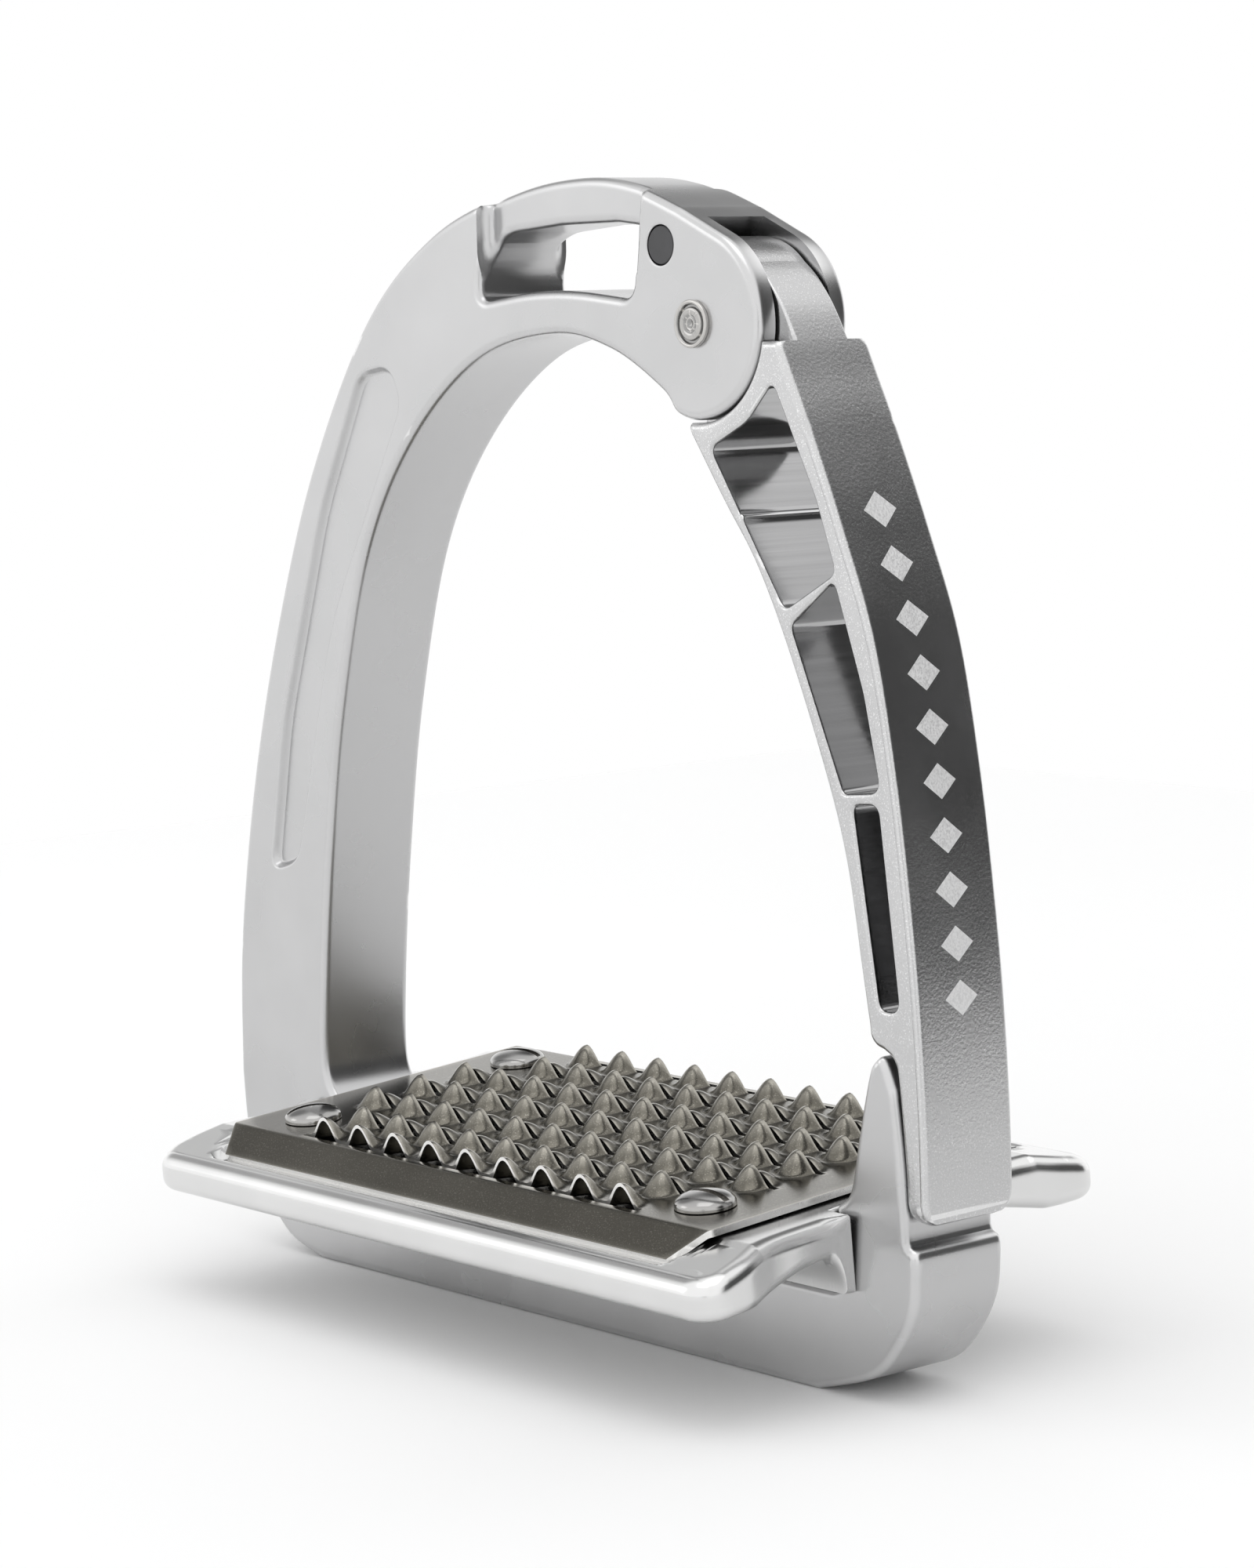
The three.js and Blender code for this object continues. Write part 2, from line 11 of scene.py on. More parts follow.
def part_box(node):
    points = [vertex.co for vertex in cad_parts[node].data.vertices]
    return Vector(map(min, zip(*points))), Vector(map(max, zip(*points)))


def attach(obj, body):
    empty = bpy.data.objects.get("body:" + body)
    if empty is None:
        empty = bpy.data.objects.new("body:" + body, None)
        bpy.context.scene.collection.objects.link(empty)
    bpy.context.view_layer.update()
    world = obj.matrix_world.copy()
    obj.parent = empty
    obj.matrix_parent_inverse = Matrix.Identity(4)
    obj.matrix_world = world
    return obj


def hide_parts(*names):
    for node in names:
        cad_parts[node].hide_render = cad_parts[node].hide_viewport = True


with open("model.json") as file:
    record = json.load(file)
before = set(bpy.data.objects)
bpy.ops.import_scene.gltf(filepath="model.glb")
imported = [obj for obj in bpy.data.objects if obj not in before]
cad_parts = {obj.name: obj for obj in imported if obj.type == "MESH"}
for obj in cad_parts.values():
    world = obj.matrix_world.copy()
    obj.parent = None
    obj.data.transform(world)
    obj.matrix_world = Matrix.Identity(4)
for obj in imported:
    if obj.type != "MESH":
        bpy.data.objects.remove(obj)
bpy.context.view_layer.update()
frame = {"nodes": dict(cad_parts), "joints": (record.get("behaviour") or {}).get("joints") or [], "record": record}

# The looks of a safety stirrup iron. Outlines are drawn in millimetres, with x = 0 in the middle of
# the foot opening; the record's hinge axis says where that is in the frame. The tread is drawn
# level, about its own middle, and the record's tread mount says where it lies and how it tilts.

MM = 0.001
RECORD = frame["record"]
HINGE = next(j for j in frame["joints"] if j["name"] == "arm_hinge")
TREAD_MOUNT = next(m for m in RECORD["mounts"] if m["name"] == "tread_surface")

PIN = (26.6, 125.7)
HALF_DEPTH = 7.25
EDGE = 1.0  # round of the frame's edges
BEAM_TOP = 12.7
CROWN_TOP = 143.7
EAR_RADIUS = 11.4
FORK_HALF = 4.55  # half the gap between the ears
FORK_RADIUS = 10.7
PLUG = (20.9, 135.1)
PLUG_RADIUS = 2.3
SLOT_LEFT = -14.0
SLOT_CORNERS = ((15.4, 128.8), (16.6, 137.4))  # the slot's right side
BAR_RECESS = 1.4
FLUTE = 4.2  # width of the groove at the recess's left end
FLUTE_DEPTH = 0.7
POCKET_DEPTH = 1.05
POCKET_RIM = 0.9  # width of the pocket's sloping rim
HUB_RADIUS = 10.2
HUB_HALF = 4.2  # half the thickness of the arm's tongue
CAM_START, CAM_SWEEP = 101, 80  # degrees around the hub
CAM_DROP = 1.8
SCALLOP = 11.75  # radius of the branch's hollow around the ears
SHOULDER = 123.5  # where the full-width branch ends
ARM_FOOT = 21.9
ARM_FOOT_ROUND = 3.0
ARM_EDGE = 0.75
LINE_AT = 1.0  # from the arm's outer edge to the middle of the fine line cut along it
LINE_HALF_WIDTH = 0.3
LINE_DEPTH = 0.14

MOUNT_X = 43.9  # from the middle of the tread to the record's tread mount
TREAD_TILT = math.asin(-TREAD_MOUNT["axis"][1])
BEAM_GAP = 0.3  # between the tray and the frame
TRAY = {
    "half_length": 53.5,
    "lip_half_length": 55.4,
    "half_depth": 32.9,
    "corner": 4.2,
    "notch": (49.6, -48.1),  # how far the right and left notches reach in
    "cheek": 0.7,  # round of the notches' corners
    "top": -1.15,
    "groove": -4.4,
    "lip": -3.1,
    "underside": -8.2,
    "ceiling": -3.6,
    "wall": 2.3,
    "saddle": 9.3,  # half the width of the solid middle
}
TRAY_SLOPE = (22.6, 31.0)  # where the top falls away to the lip
PLATE = {
    "half_length": 47.3,
    "flat": 23.9,  # from the middle to each bend
    "bend": 1.2,  # radius
    "angle": 35,
    "reach": 28.4,
    "taper": 3.3,
    "sheet": 0.85,
}
TEETH = {
    "rows": 7,
    "row_pitch": 7.6,
    "count": 11,  # teeth in a full row
    "short_count": 9,  # teeth in a row between screws
    "pitch": 7.4,
    "slit": 0.85,
    "width": 2.85,
    "length": 3.3,
    "height": 2.65,
    "rear": 0.6,  # height of the teeth behind a slit, beside those in front of it
}
SCREW_AT = (38.9, 17.4)
SCREW_HEAD = (3.75, 2.0)  # radius and height
SCREW_ROOM = 6  # rows nearer to a screw than this are short

# The row of etched lozenges, in metres: along the arm, across it, and how far out the outer face is.
LOZENGES = {"first": 0.045, "pitch": 0.0062, "count": 10, "half_width": 0.0026, "outside": 0.052}

# ------------------------------------------------------------------------------------------------
# Places


def upright_matrix():
    """Drawing (x, height, towards the viewer) to the row frame, for the frame and the arm."""
    x, _, z = HINGE["pos_m"]
    shift = Vector((x - PIN[0] * MM, 0, z - PIN[1] * MM))
    axes = Matrix(((MM, 0, 0), (0, 0, -MM), (0, MM, 0))).to_4x4()
    return Matrix.Translation(shift) @ axes


def tread_matrix():
    """Drawing (x, depth, height above the plate) to the row frame, for the tread."""
    x, y, z = TREAD_MOUNT["pos_m"]
    middle = Matrix.Translation((x - MOUNT_X * MM, y, z))
    return middle @ Matrix.Rotation(TREAD_TILT, 4, "X") @ Matrix.Scale(MM, 4)


UPRIGHT = upright_matrix()
TREAD = tread_matrix()

# ------------------------------------------------------------------------------------------------
# Curves

CIRCLE_STEPS = 64
CORNER_STEPS = 10


def polar(centre, radius, angle):
    a = math.radians(angle)
    return (centre[0] + radius * math.cos(a), centre[1] + radius * math.sin(a))


def arc(centre, radius, start, end, steps):
    return [polar(centre, radius, start + (end - start) * i / steps) for i in range(steps + 1)]


def circle(centre, radius):
    return arc(centre, radius, 0, 360 * (CIRCLE_STEPS - 1) / CIRCLE_STEPS, CIRCLE_STEPS - 1)


def sweep(points, per_span=12):
    """A smooth curve through the points."""
    p = np.array(points, float)
    out = []
    for i in range(len(p) - 1):
        before, a, b, after = p[max(i - 1, 0)], p[i], p[i + 1], p[min(i + 2, len(p) - 1)]
        m0, m1 = (b - before) / 2, (after - a) / 2
        for t in np.arange(per_span) / per_span:
            curve = (2 * t**3 - 3 * t**2 + 1) * a + (t**3 - 2 * t**2 + t) * m0
            out.append(curve + (3 * t**2 - 2 * t**3) * b + (t**3 - t**2) * m1)
    out.append(p[-1])
    return [tuple(q) for q in out]


def rounded(corners):
    """A polygon whose corners (x, y, radius) are rounded."""
    p = np.array([c[:2] for c in corners], float)
    out = []
    for i, (corner, (_, _, radius)) in enumerate(zip(p, corners)):
        back = p[i - 1] - corner
        on = p[(i + 1) % len(p)] - corner
        back /= np.linalg.norm(back)
        on /= np.linalg.norm(on)
        half = math.acos(np.clip(back @ on, -1, 1)) / 2
        start, end = (corner + side * radius / math.tan(half) for side in (back, on))
        for t in np.linspace(0, 1, CORNER_STEPS + 1):
            out.append(tuple((1 - t) ** 2 * start + 2 * t * (1 - t) * corner + t**2 * end))
    return out


def evened(points, spacing):
    """A closed line with its points about `spacing` apart, keeping tight turns."""
    p = np.array(points, float)
    keep = [p[0]]
    for a, b in zip(p, np.roll(p, -1, 0)):
        span = np.linalg.norm(b - a)
        if span < 1e-6:
            continue
        count = max(1, round(span / spacing))
        keep += [a + (b - a) * (i + 1) / count for i in range(count)]
    q = np.array(keep[:-1])
    far = np.linalg.norm(q - np.roll(q, 1, 0), axis=1) > 0.05
    return q[far]


def area(points):
    x, y = np.array(points).T
    return 0.5 * float(np.sum(x * np.roll(y, -1) - y * np.roll(x, -1)))


def inset(points, distance):
    """The closed line moved to its left."""
    ahead = np.roll(points, -1, 0) - points
    ahead /= np.linalg.norm(ahead, axis=1)[:, None]
    behind = np.roll(ahead, 1, 0)
    normal = np.stack([-(ahead + behind)[:, 1], (ahead + behind)[:, 0]], 1)
    length = np.maximum(np.linalg.norm(normal, axis=1), 0.6)
    mitre = 2 / length
    return points + normal / length[:, None] * (distance * np.minimum(mitre, 1.6))[:, None]


def distance_to(points, line, closed=True):
    """Distance from each point to a line."""
    a = line
    b = np.roll(line, -1, 0)
    if not closed:
        a, b = line[:-1], line[1:]
    span = b - a
    out = np.empty(len(points))
    for start in range(0, len(points), 1000):
        p = points[start:start + 1000, None, :] - a[None]
        t = np.clip((p * span).sum(2) / (span**2).sum(1), 0, 1)
        out[start:start + 1000] = np.sqrt(((p - t[..., None] * span) ** 2).sum(2)).min(1)
    return out


def inside(points, loop):
    """Whether each point lies inside a closed line."""
    x, y = points[:, 0, None], points[:, 1, None]
    ax, ay = loop[:, 0], loop[:, 1]
    bx, by = np.roll(ax, -1), np.roll(ay, -1)
    rise = np.where(by == ay, 1e-12, by - ay)
    crosses = ((ay > y) != (by > y)) & (x < (bx - ax) * (y - ay) / rise + ax)
    return crosses.sum(1) % 2 == 1


def smooth(t):
    t = np.clip(t, 0, 1)
    return t * t * (3 - 2 * t)


def round_drop(distance, radius):
    """How far a rounded edge falls below its face."""
    d = np.clip(radius - distance, 0, radius)
    return radius - np.sqrt(np.maximum(radius**2 - d**2, 0))


# ------------------------------------------------------------------------------------------------
# Solids

RING_ANGLES = (0, 14, 28, 42, 56, 72, 90)
WALL_MARGIN = 0.25
FLAT_MARGIN = 0.7  # a ring on the flat, so that the wear and painted highlight on an edge stay on it


def rings_of(radius):
    steps = [radius * (1 - math.cos(math.radians(a))) for a in RING_ANGLES]
    return [*steps, radius + WALL_MARGIN, radius + FLAT_MARGIN]


def lattice(lines, margin, spacing):
    """Points spread evenly inside the first closed line and outside the others."""
    low, high = lines[0].min(0), lines[0].max(0)
    rows = np.arange(low[1], high[1], spacing * math.sqrt(3) / 2)
    points = []
    for i, y in enumerate(rows):
        points += [(x, y) for x in np.arange(low[0] + (i % 2) * spacing / 2, high[0], spacing)]
    points = np.array(points)
    kept = inside(points, lines[0])
    for line in lines[1:]:
        kept &= ~inside(points, line)
    for line in lines:
        kept[kept] &= distance_to(points[kept], line) > margin
    return points[kept]


def triangulated(loops, guides, spacing):
    """The flat outline cut into triangles: its points, its faces and its lines with their radii."""
    coords, edges, lines = [], [], []

    def add(points, closed):
        first = len(coords)
        coords.extend(Vector(p) for p in points)
        edges.extend((first + i, first + i + 1) for i in range(len(points) - 1))
        if closed:
            edges.append((len(coords) - 1, first))

    for index, (points, top_radius, bottom_radius) in enumerate(loops):
        line = np.array(points, float)
        if (area(line) > 0) != (index == 0):
            line = line[::-1]
        lines.append((line, top_radius, bottom_radius))
        for distance in sorted({*rings_of(top_radius), *rings_of(bottom_radius)}):
            add(inset(line, distance) if distance else line, True)
    for points, closed in guides:
        add(points, closed)
    margin = max(max(radii) for _, *radii in lines) + FLAT_MARGIN + spacing / 3
    coords.extend(Vector(p) for p in lattice([line for line, *_ in lines], margin, spacing))
    found = delaunay_2d_cdt(coords, edges, [], 0, 1e-5)
    flat = np.array([tuple(v) for v in found[0]], float)
    faces = np.array([f for f in found[2] if len(f) == 3])
    middles = flat[faces].mean(1)
    kept = inside(middles, lines[0][0])
    for line, *_ in lines[1:]:
        kept &= ~inside(middles, line)
    faces = faces[kept]
    corner = flat[faces]
    turn = np.cross(corner[:, 1] - corner[:, 0], corner[:, 2] - corner[:, 0])
    faces = np.where(turn[:, None] < 0, faces[:, ::-1], faces)[np.abs(turn) > 1e-9]
    used = np.unique(faces)
    return flat[used], np.searchsorted(used, faces), lines


def relief(name, loops, guides, top, bottom, matrix, spacing=2.5, keen=None):
    """A solid over a flat outline, with a top and a bottom that are height functions.

    loops holds (points, top radius, bottom radius): the outer line first, then the holes.
    guides holds lines along which the surface gets points. top and bottom take (x, y).
    keen says, for (x, y), what share of the edges' radius is left there.
    """
    flat, faces, lines = triangulated(loops, guides, spacing)
    fall_top, fall_bottom = np.zeros(len(flat)), np.zeros(len(flat))
    scale = keen(flat[:, 0], flat[:, 1]) if keen else np.ones(len(flat))
    for line, top_radius, bottom_radius in lines:
        distance = distance_to(flat, line)
        fall_top = np.maximum(fall_top, round_drop(distance, top_radius * scale))
        fall_bottom = np.maximum(fall_bottom, round_drop(distance, bottom_radius * scale))
    high = top(flat[:, 0], flat[:, 1]) - fall_top
    low = bottom(flat[:, 0], flat[:, 1]) + fall_bottom

    count = len(flat)
    directed = np.concatenate([faces[:, [0, 1]], faces[:, [1, 2]], faces[:, [2, 0]]])
    known = {tuple(e) for e in directed.tolist()}
    rim = [(a, b) for a, b in directed.tolist() if (b, a) not in known]
    rows = [high, high - WALL_MARGIN, low + WALL_MARGIN, low]
    stack = np.concatenate([np.column_stack([flat, row]) for row in rows])
    polygons = faces.tolist() + (faces[:, ::-1] + 3 * count).tolist()
    for row in range(3):
        start, end = row * count, (row + 1) * count
        polygons += [(a + start, a + end, b + end, b + start) for a, b in rim]
    return solid(name, stack, polygons, matrix)


def solid(name, points, faces, matrix=Matrix.Identity(4)):
    mesh = bpy.data.meshes.new(name)
    mesh.from_pydata([matrix @ Vector(p) for p in points], [], faces)
    work = bmesh.new()
    work.from_mesh(mesh)
    loose = [v for v in work.verts if not v.link_faces]
    bmesh.ops.delete(work, geom=loose, context="VERTS")
    work.to_mesh(mesh)
    work.free()
    piece = bpy.data.objects.new(name, mesh)
    bpy.context.scene.collection.objects.link(piece)
    return piece


def turned(name, profile, matrix, steps=64, groove=None):
    """A solid of revolution about the drawing's third axis, from (radius, height) pairs."""
    points, faces = [], []
    for radius, height in profile:
        for i in range(steps):
            a = 2 * math.pi * i / steps
            points.append((radius * math.cos(a), radius * math.sin(a), height))
    for row in range(len(profile) - 1):
        for i in range(steps):
            a, b = row * steps + i, row * steps + (i + 1) % steps
            faces.append((a, b, b + steps, a + steps))
    faces.append(tuple(reversed(range(steps))))
    faces.append(tuple(range(len(points) - steps, len(points))))
    piece = solid(name, points, faces, matrix)
    if groove:
        cut(piece, groove)
    return piece


def prism(name, outline, low, high, matrix):
    line = outline if area(outline) > 0 else outline[::-1]
    count = len(line)
    points = [(*p, low) for p in line] + [(*p, high) for p in line]
    faces = [tuple(reversed(range(count))), tuple(range(count, 2 * count))]
    for i in range(count):
        j = (i + 1) % count
        faces.append((i, j, j + count, i + count))
    return solid(name, points, faces, matrix)


def cut(piece, tool):
    """Takes the tool's shape out of the piece, and removes the tool."""
    change = piece.modifiers.new("cut", "BOOLEAN")
    change.operation = "DIFFERENCE"
    change.solver = "EXACT"
    change.object = tool
    bpy.context.view_layer.update()
    graph = bpy.context.evaluated_depsgraph_get()
    result = bpy.data.meshes.new_from_object(piece.evaluated_get(graph))
    piece.modifiers.clear()
    piece.data = result
    bpy.data.objects.remove(tool)


def finished(piece, material, body, nodes, sharp=38):
    """Shades a piece, gives it its material, and ties it to its body and CAD nodes."""
    piece.data.shade_smooth()
    piece.data.set_sharp_from_angle(angle=math.radians(sharp))
    if not piece.data.materials:
        piece.data.materials.append(material)
    piece.data.materials[0] = material
    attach(piece, body)
    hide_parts(*nodes)
    return piece


# ------------------------------------------------------------------------------------------------
# Frame

POST_OUTER = [(59.7, 20.2), (59.2, 29), (58.1, 37.6)]


def frame_outline():
    base_right = sweep([(61.25, 16.8), (60.6, 12), (57.8, 7), (53.4, 3), (44, 0)])
    base_left = sweep([(-55, 0), (-62.4, 2.2), (-67.4, 7.4), (-71.2, 15), (-72.3, 24)])
    branch = [(-72.3, 24), (-71.4, 42), (-67.2, 64), (-60.4, 86), (-51.2, 107.4), (-38, 127)]
    crown = [(-23.6, 137.6), (-8, 142.4), (5, CROWN_TOP), (15, 142.5), (24, 139.4)]
    outer = sweep([*branch, *crown])
    ear = arc(PIN, EAR_RADIUS, 64, -98, 60)
    arch = [(22.7, 115.3), (20.1, 118.0), (11, 122.8), (0, 124.8), (-15, 121.9), (-29, 112)]
    inner_branch = [(-39.4, 97.4), (-46.2, 76), (-50, 55), (-52, 38), (-52.4, 27), (-50.3, 22.9)]
    inner = sweep([ear[-1], *arch, *inner_branch])
    post_inner = [(48, 22.7), (50.2, 24.8), (51.8, 31.5), (53.6, 38.6), (54.6, 40.6), (56.3, 41.2)]
    post = sweep([*post_inner, POST_OUTER[-1]])
    ledge = [(59.75, 20.0), (59.9, 19.6), (60.3, 19.4), (60.8, 19.2), (61.1, 18.8), (61.25, 18.2)]
    corners = [(-50.3, BEAM_TOP), (48, BEAM_TOP)]
    outline = [*ledge, *base_right, *base_left, *outer[1:], *ear, *inner[1:], *corners, *post]
    return evened([*outline, *sweep(POST_OUTER[::-1], 6)[1:]], 0.8)


def slot_outline():
    lower, upper = SLOT_CORNERS
    corners = [(SLOT_LEFT, 137.1, 6.5), (SLOT_LEFT, 129, 1.6), (0, 130.6, 70), (*lower, 2.2)]
    return evened(rounded([*corners, (*upper, 1.0), (11, 138.1, 1.5), (0.5, 138.1, 1.5)]), 0.6)


def pocket_outline():
    return evened(
        rounded([
            (-40, 120.6, 5), (-33, 121.6, 4), (-30.6, 116.4, 5), (-47.6, 87, 60),
            (-56.8, 54.4, 5), (-63.6, 52.4, 2.2), (-59.6, 73.6, 60), (-49.6, 102.4, 60),
        ]),
        1.0,
    )


POCKET = pocket_outline()


def head_side(x, y):
    """How far a point lies to the right of the head's left side, which continues the slot's."""
    (x0, y0), (x1, y1) = SLOT_CORNERS
    length = math.hypot(x1 - x0, y1 - y0)
    return ((x - x0) * (y1 - y0) - (y - y0) * (x1 - x0)) / length


def frame_face(x, y):
    """Half the frame's depth: less on the bar over the slot, and in the branch's pocket."""
    over_slot = (y > 132) & (x > SLOT_LEFT)
    from_head = head_side(x, y)
    along = np.clip((x - SLOT_LEFT) / FLUTE, 0, 1)
    wall = np.sqrt(1 - (1 - np.clip(along / 0.35, 0, 1)) ** 2)
    groove = FLUTE_DEPTH * np.cos(math.pi / 2 * along) ** 2
    recess = np.where(over_slot & (from_head < 0), (BAR_RECESS + groove) * wall, 0)
    shoulder = np.where(over_slot & (from_head >= 0), round_drop(from_head, EDGE), 0)
    points = np.column_stack([x, y])
    depth = np.zeros(len(x))
    near = inside(points, POCKET)
    depth[near] = smooth(distance_to(points[near], POCKET) / POCKET_RIM)
    return HALF_DEPTH - np.maximum(recess, shoulder) - POCKET_DEPTH * depth


def frame_guides():
    (x0, y0), (x1, y1) = SLOT_CORNERS
    lean = (x1 - x0) / (y1 - y0)
    guides = []
    for step in (-0.02, 0.02, *[EDGE * (1 - math.cos(math.radians(a))) for a in (20, 40, 60, 90)]):
        guides.append(([(x0 + step + lean * (y - y0), y) for y in (134, 150)], False))
    for share in (0, 0.01, 0.03, 0.07, 0.13, 0.2, 0.28, 0.35, 0.5, 0.65, 0.8, 1):
        x = SLOT_LEFT + share * FLUTE
        guides.append(([(x, 132.5), (x, 150)], False))
    rim = POCKET if area(POCKET) > 0 else POCKET[::-1]
    for share in (-0.7, -0.2, 0, 0.15, 0.3, 0.5, 0.7, 0.85, 1, 1.2, 1.7):
        guides.append((inset(rim, share * POCKET_RIM), True))
    return guides


def fork_cutter():
    room = arc(PIN, FORK_RADIUS, 104, 262, 60)
    outline = [*room[::-1], (26.9, 138.6), (27.1, 146), (50, 146), (50, 100), (room[-1][0], 100)]
    return prism("fork", outline, -FORK_HALF, FORK_HALF, UPRIGHT)


def frame_back(x, y):
    return -frame_face(x, y)


def make_frame(material):
    loops = [
        (frame_outline(), EDGE, EDGE),
        (slot_outline(), EDGE, EDGE),
        (circle(PLUG, PLUG_RADIUS + 0.12), 0.18, 0.18),
        (circle(PIN, 2.5), 0.1, 0.1),
    ]
    piece = relief("iron_frame", loops, frame_guides(), frame_face, frame_back, UPRIGHT)
    cut(piece, fork_cutter())
    return finished(piece, material, "root", ["frame"])


def ear_matrix(centre, side):
    """A drawing whose third axis points out of the front (side 1) or rear (side -1) ear."""
    turn = Matrix.Rotation(0 if side > 0 else math.pi, 4, "X")
    return UPRIGHT @ Matrix.Translation((*centre, 0)) @ turn


def make_plugs(material):
    for name, side in (("front", 1), ("rear", -1)):
        inner, face = FORK_HALF + 0.4, HALF_DEPTH - 0.12
        rim = [(PLUG_RADIUS, inner), (PLUG_RADIUS, face - 0.12), (PLUG_RADIUS - 0.1, face)]
        profile = [*rim, (0.3, face - 0.03)]
        piece = turned(f"plug_{name}", profile, ear_matrix(PLUG, side))
        finished(piece, material, "root", [f"ear_plug_{name}"])


def make_pin(material):
    """Both ends are riveted over, with a turned ring and a centre mark."""
    rim = [
        (2.4, -1), (2.4, 0.02), (2.8, 0.03), (2.86, 0.2), (2.86, 0.5),
        (2.78, 0.6), (2.62, 0.64), (2.45, 0.6), (2.34, 0.42), (2.26, 0.2),
    ]
    ring = [(2.02, 0.2), (1.94, 0.42), (1.86, 0.56), (1.7, 0.6), (1.2, 0.6), (1.08, 0.54), (0.98, 0.44)]
    mark = [(0.88, 0.44), (0.78, 0.54), (0.66, 0.56), (0.45, 0.42), (0.2, 0.28), (0.06, 0.26)]
    end = [(radius, HALF_DEPTH + height) for radius, height in (*rim, *ring, *mark)]
    profile = [(radius, -height) for radius, height in reversed(end)] + end
    piece = turned("pin_riveted", profile, UPRIGHT @ Matrix.Translation((*PIN, 0)), steps=72)
    finished(piece, material, "root", ["hinge_pin"], sharp=50)


# ------------------------------------------------------------------------------------------------
# Release arm

ARM_OUTER = [
    (63.05, 23.6), (63.0, 33), (62.4, 45), (61.3, 57), (59.2, 73), (56, 89), (51.2, 101.6), (46.2, 113),
]


def arm_outline():
    """The branch, the flare that narrows into the tongue, and the hub with its cam."""
    tip = [(25.15, 113.4), (25.5, 112.6), (26.2, 111.6)]
    inner = [(31, 104.8), (36.4, 97.5), (41.6, 87.6), (47.6, 73.4), (50.8, 63.4), (53, 51), (54, 45.4)]
    step = [(54.3, 43.6), (55.2, 42.6), (56.6, 42.1), (58.1, 41.0), (58.75, 38.6)]
    lap = [(59.65, 29), (59.9, 24.4), (60.25, 22.9), (61.4, 22.0), (62.6, 22.4)]
    flare = [(43.0, 119.6), (40.9, 123.9), (38.8, 127.6), (36.8, 130.2), (35.3, 131.7)]
    hub = arc(PIN, HUB_RADIUS, 44, CAM_START, 24)
    turns = [i / 24 for i in range(1, 25)]
    cam = [polar(PIN, HUB_RADIUS - CAM_DROP * t, CAM_START + CAM_SWEEP * t) for t in turns]
    heel = [*arc(PIN, HUB_RADIUS - CAM_DROP, 190, 236, 14), (23.4, 116.7), (24.8, 114.9)]
    side = sweep([*tip, *inner, *step, *lap, *ARM_OUTER, *flare, hub[0]], 10)
    return evened([*side, *hub[1:], *cam, *heel], 0.7)


def arm_windows():
    rib = [(33.82, 103.42, 0.1), (34.27, 103.29, 0.1), (34.43, 103.04, 0.1), (34.38, 102.58, 0.1)]
    upper = [
        (40, 118.8, 1.1), (35.2, 114, 7), (28.8, 111, 1.2), *rib,
        (41.2, 92.3, 1.6), (50, 96.9, 1.4), (46.9, 105.4, 12),
    ]
    middle = [(49.7, 96, 1.0), (42.1, 90.5, 1.3), (50.5, 71.4, 1.3), (56.7, 72, 1.6), (54.2, 83.2, 20)]
    lower = [(52, 70.3, 1.3), (56.3, 70.5, 1.6), (59.2, 46.8, 1.5), (55.9, 46.7, 1.5)]
    return [evened(rounded(window), 0.6) for window in (upper, middle, lower)]


def branch_depth(x, y):
    """How far a point lies inside the full-width branch; negative on the tongue."""
    return np.minimum(np.hypot(x - PIN[0], y - PIN[1]) - SCALLOP, SHOULDER - y)


def arm_face(x, y):
    depth = branch_depth(x, y)
    drop = np.maximum(round_drop(depth, ARM_EDGE), round_drop(y - ARM_FOOT, ARM_FOOT_ROUND))
    from_edge = distance_to(np.column_stack([x, y]), np.array(sweep(ARM_OUTER)), closed=False)
    line = LINE_DEPTH * np.clip(1 - np.abs(from_edge - LINE_AT) / LINE_HALF_WIDTH, 0, 1)
    return np.where(depth > 0, HALF_DEPTH - drop - line, HUB_HALF)


def arm_back(x, y):
    return -arm_face(x, y)


def arm_guides():
    rounding = [ARM_EDGE * (1 - math.cos(math.radians(a))) for a in (25, 45, 65, 90)]
    guides = []
    for step in (-0.02, 0.02, *rounding):
        guides.append((arc(PIN, SCALLOP + step, -102, -4, 60), False))
        guides.append(([(x, SHOULDER - step) for x in (36, 46)], False))
    for angle in (12, 25, 38, 52, 68, 90):
        level = ARM_FOOT + ARM_FOOT_ROUND * (1 - math.cos(math.radians(angle)))
        guides.append(([(x, level) for x in (59, 64)], False))
    return guides


def make_arm(material, window_painted_shade_material):
    windows = arm_windows()
    loops = [(arm_outline(), ARM_EDGE, ARM_EDGE), (circle(PIN, 3.8), 0.2, 0.2)]
    loops += [(window, 0.45, 0.45) for window in windows]
    piece = relief(
        "arm_branch", loops, arm_guides(), arm_face, arm_back, UPRIGHT,
        keen=lambda x, y: np.where(branch_depth(x, y) > 0, 1, 0.4),
    )
    piece.data.materials.append(material)
    piece.data.materials.append(window_painted_shade_material)
    # The windows' walls get a darker copy of the arm's metal: painted shade inside the windows.
    back = UPRIGHT.inverted()
    walls = [f for f in piece.data.polygons if abs(f.normal.y) < 0.3]
    middles = np.array([tuple(back @ f.center)[:2] for f in walls])
    near = np.min([distance_to(middles, window) for window in windows], axis=0)
    for face, distance in zip(walls, near):
        face.material_index = int(distance < 0.2)
    return finished(piece, material, "arm", ["release_arm"])


# ------------------------------------------------------------------------------------------------
# Tread


def beam_level(y):
    """The saddle's underside: level in the row frame, so sloping in the tilted drawing."""
    rise = BEAM_TOP + BEAM_GAP - TREAD_MOUNT["pos_m"][2] / MM
    return rise / math.cos(TREAD_TILT) - y * math.tan(TREAD_TILT)


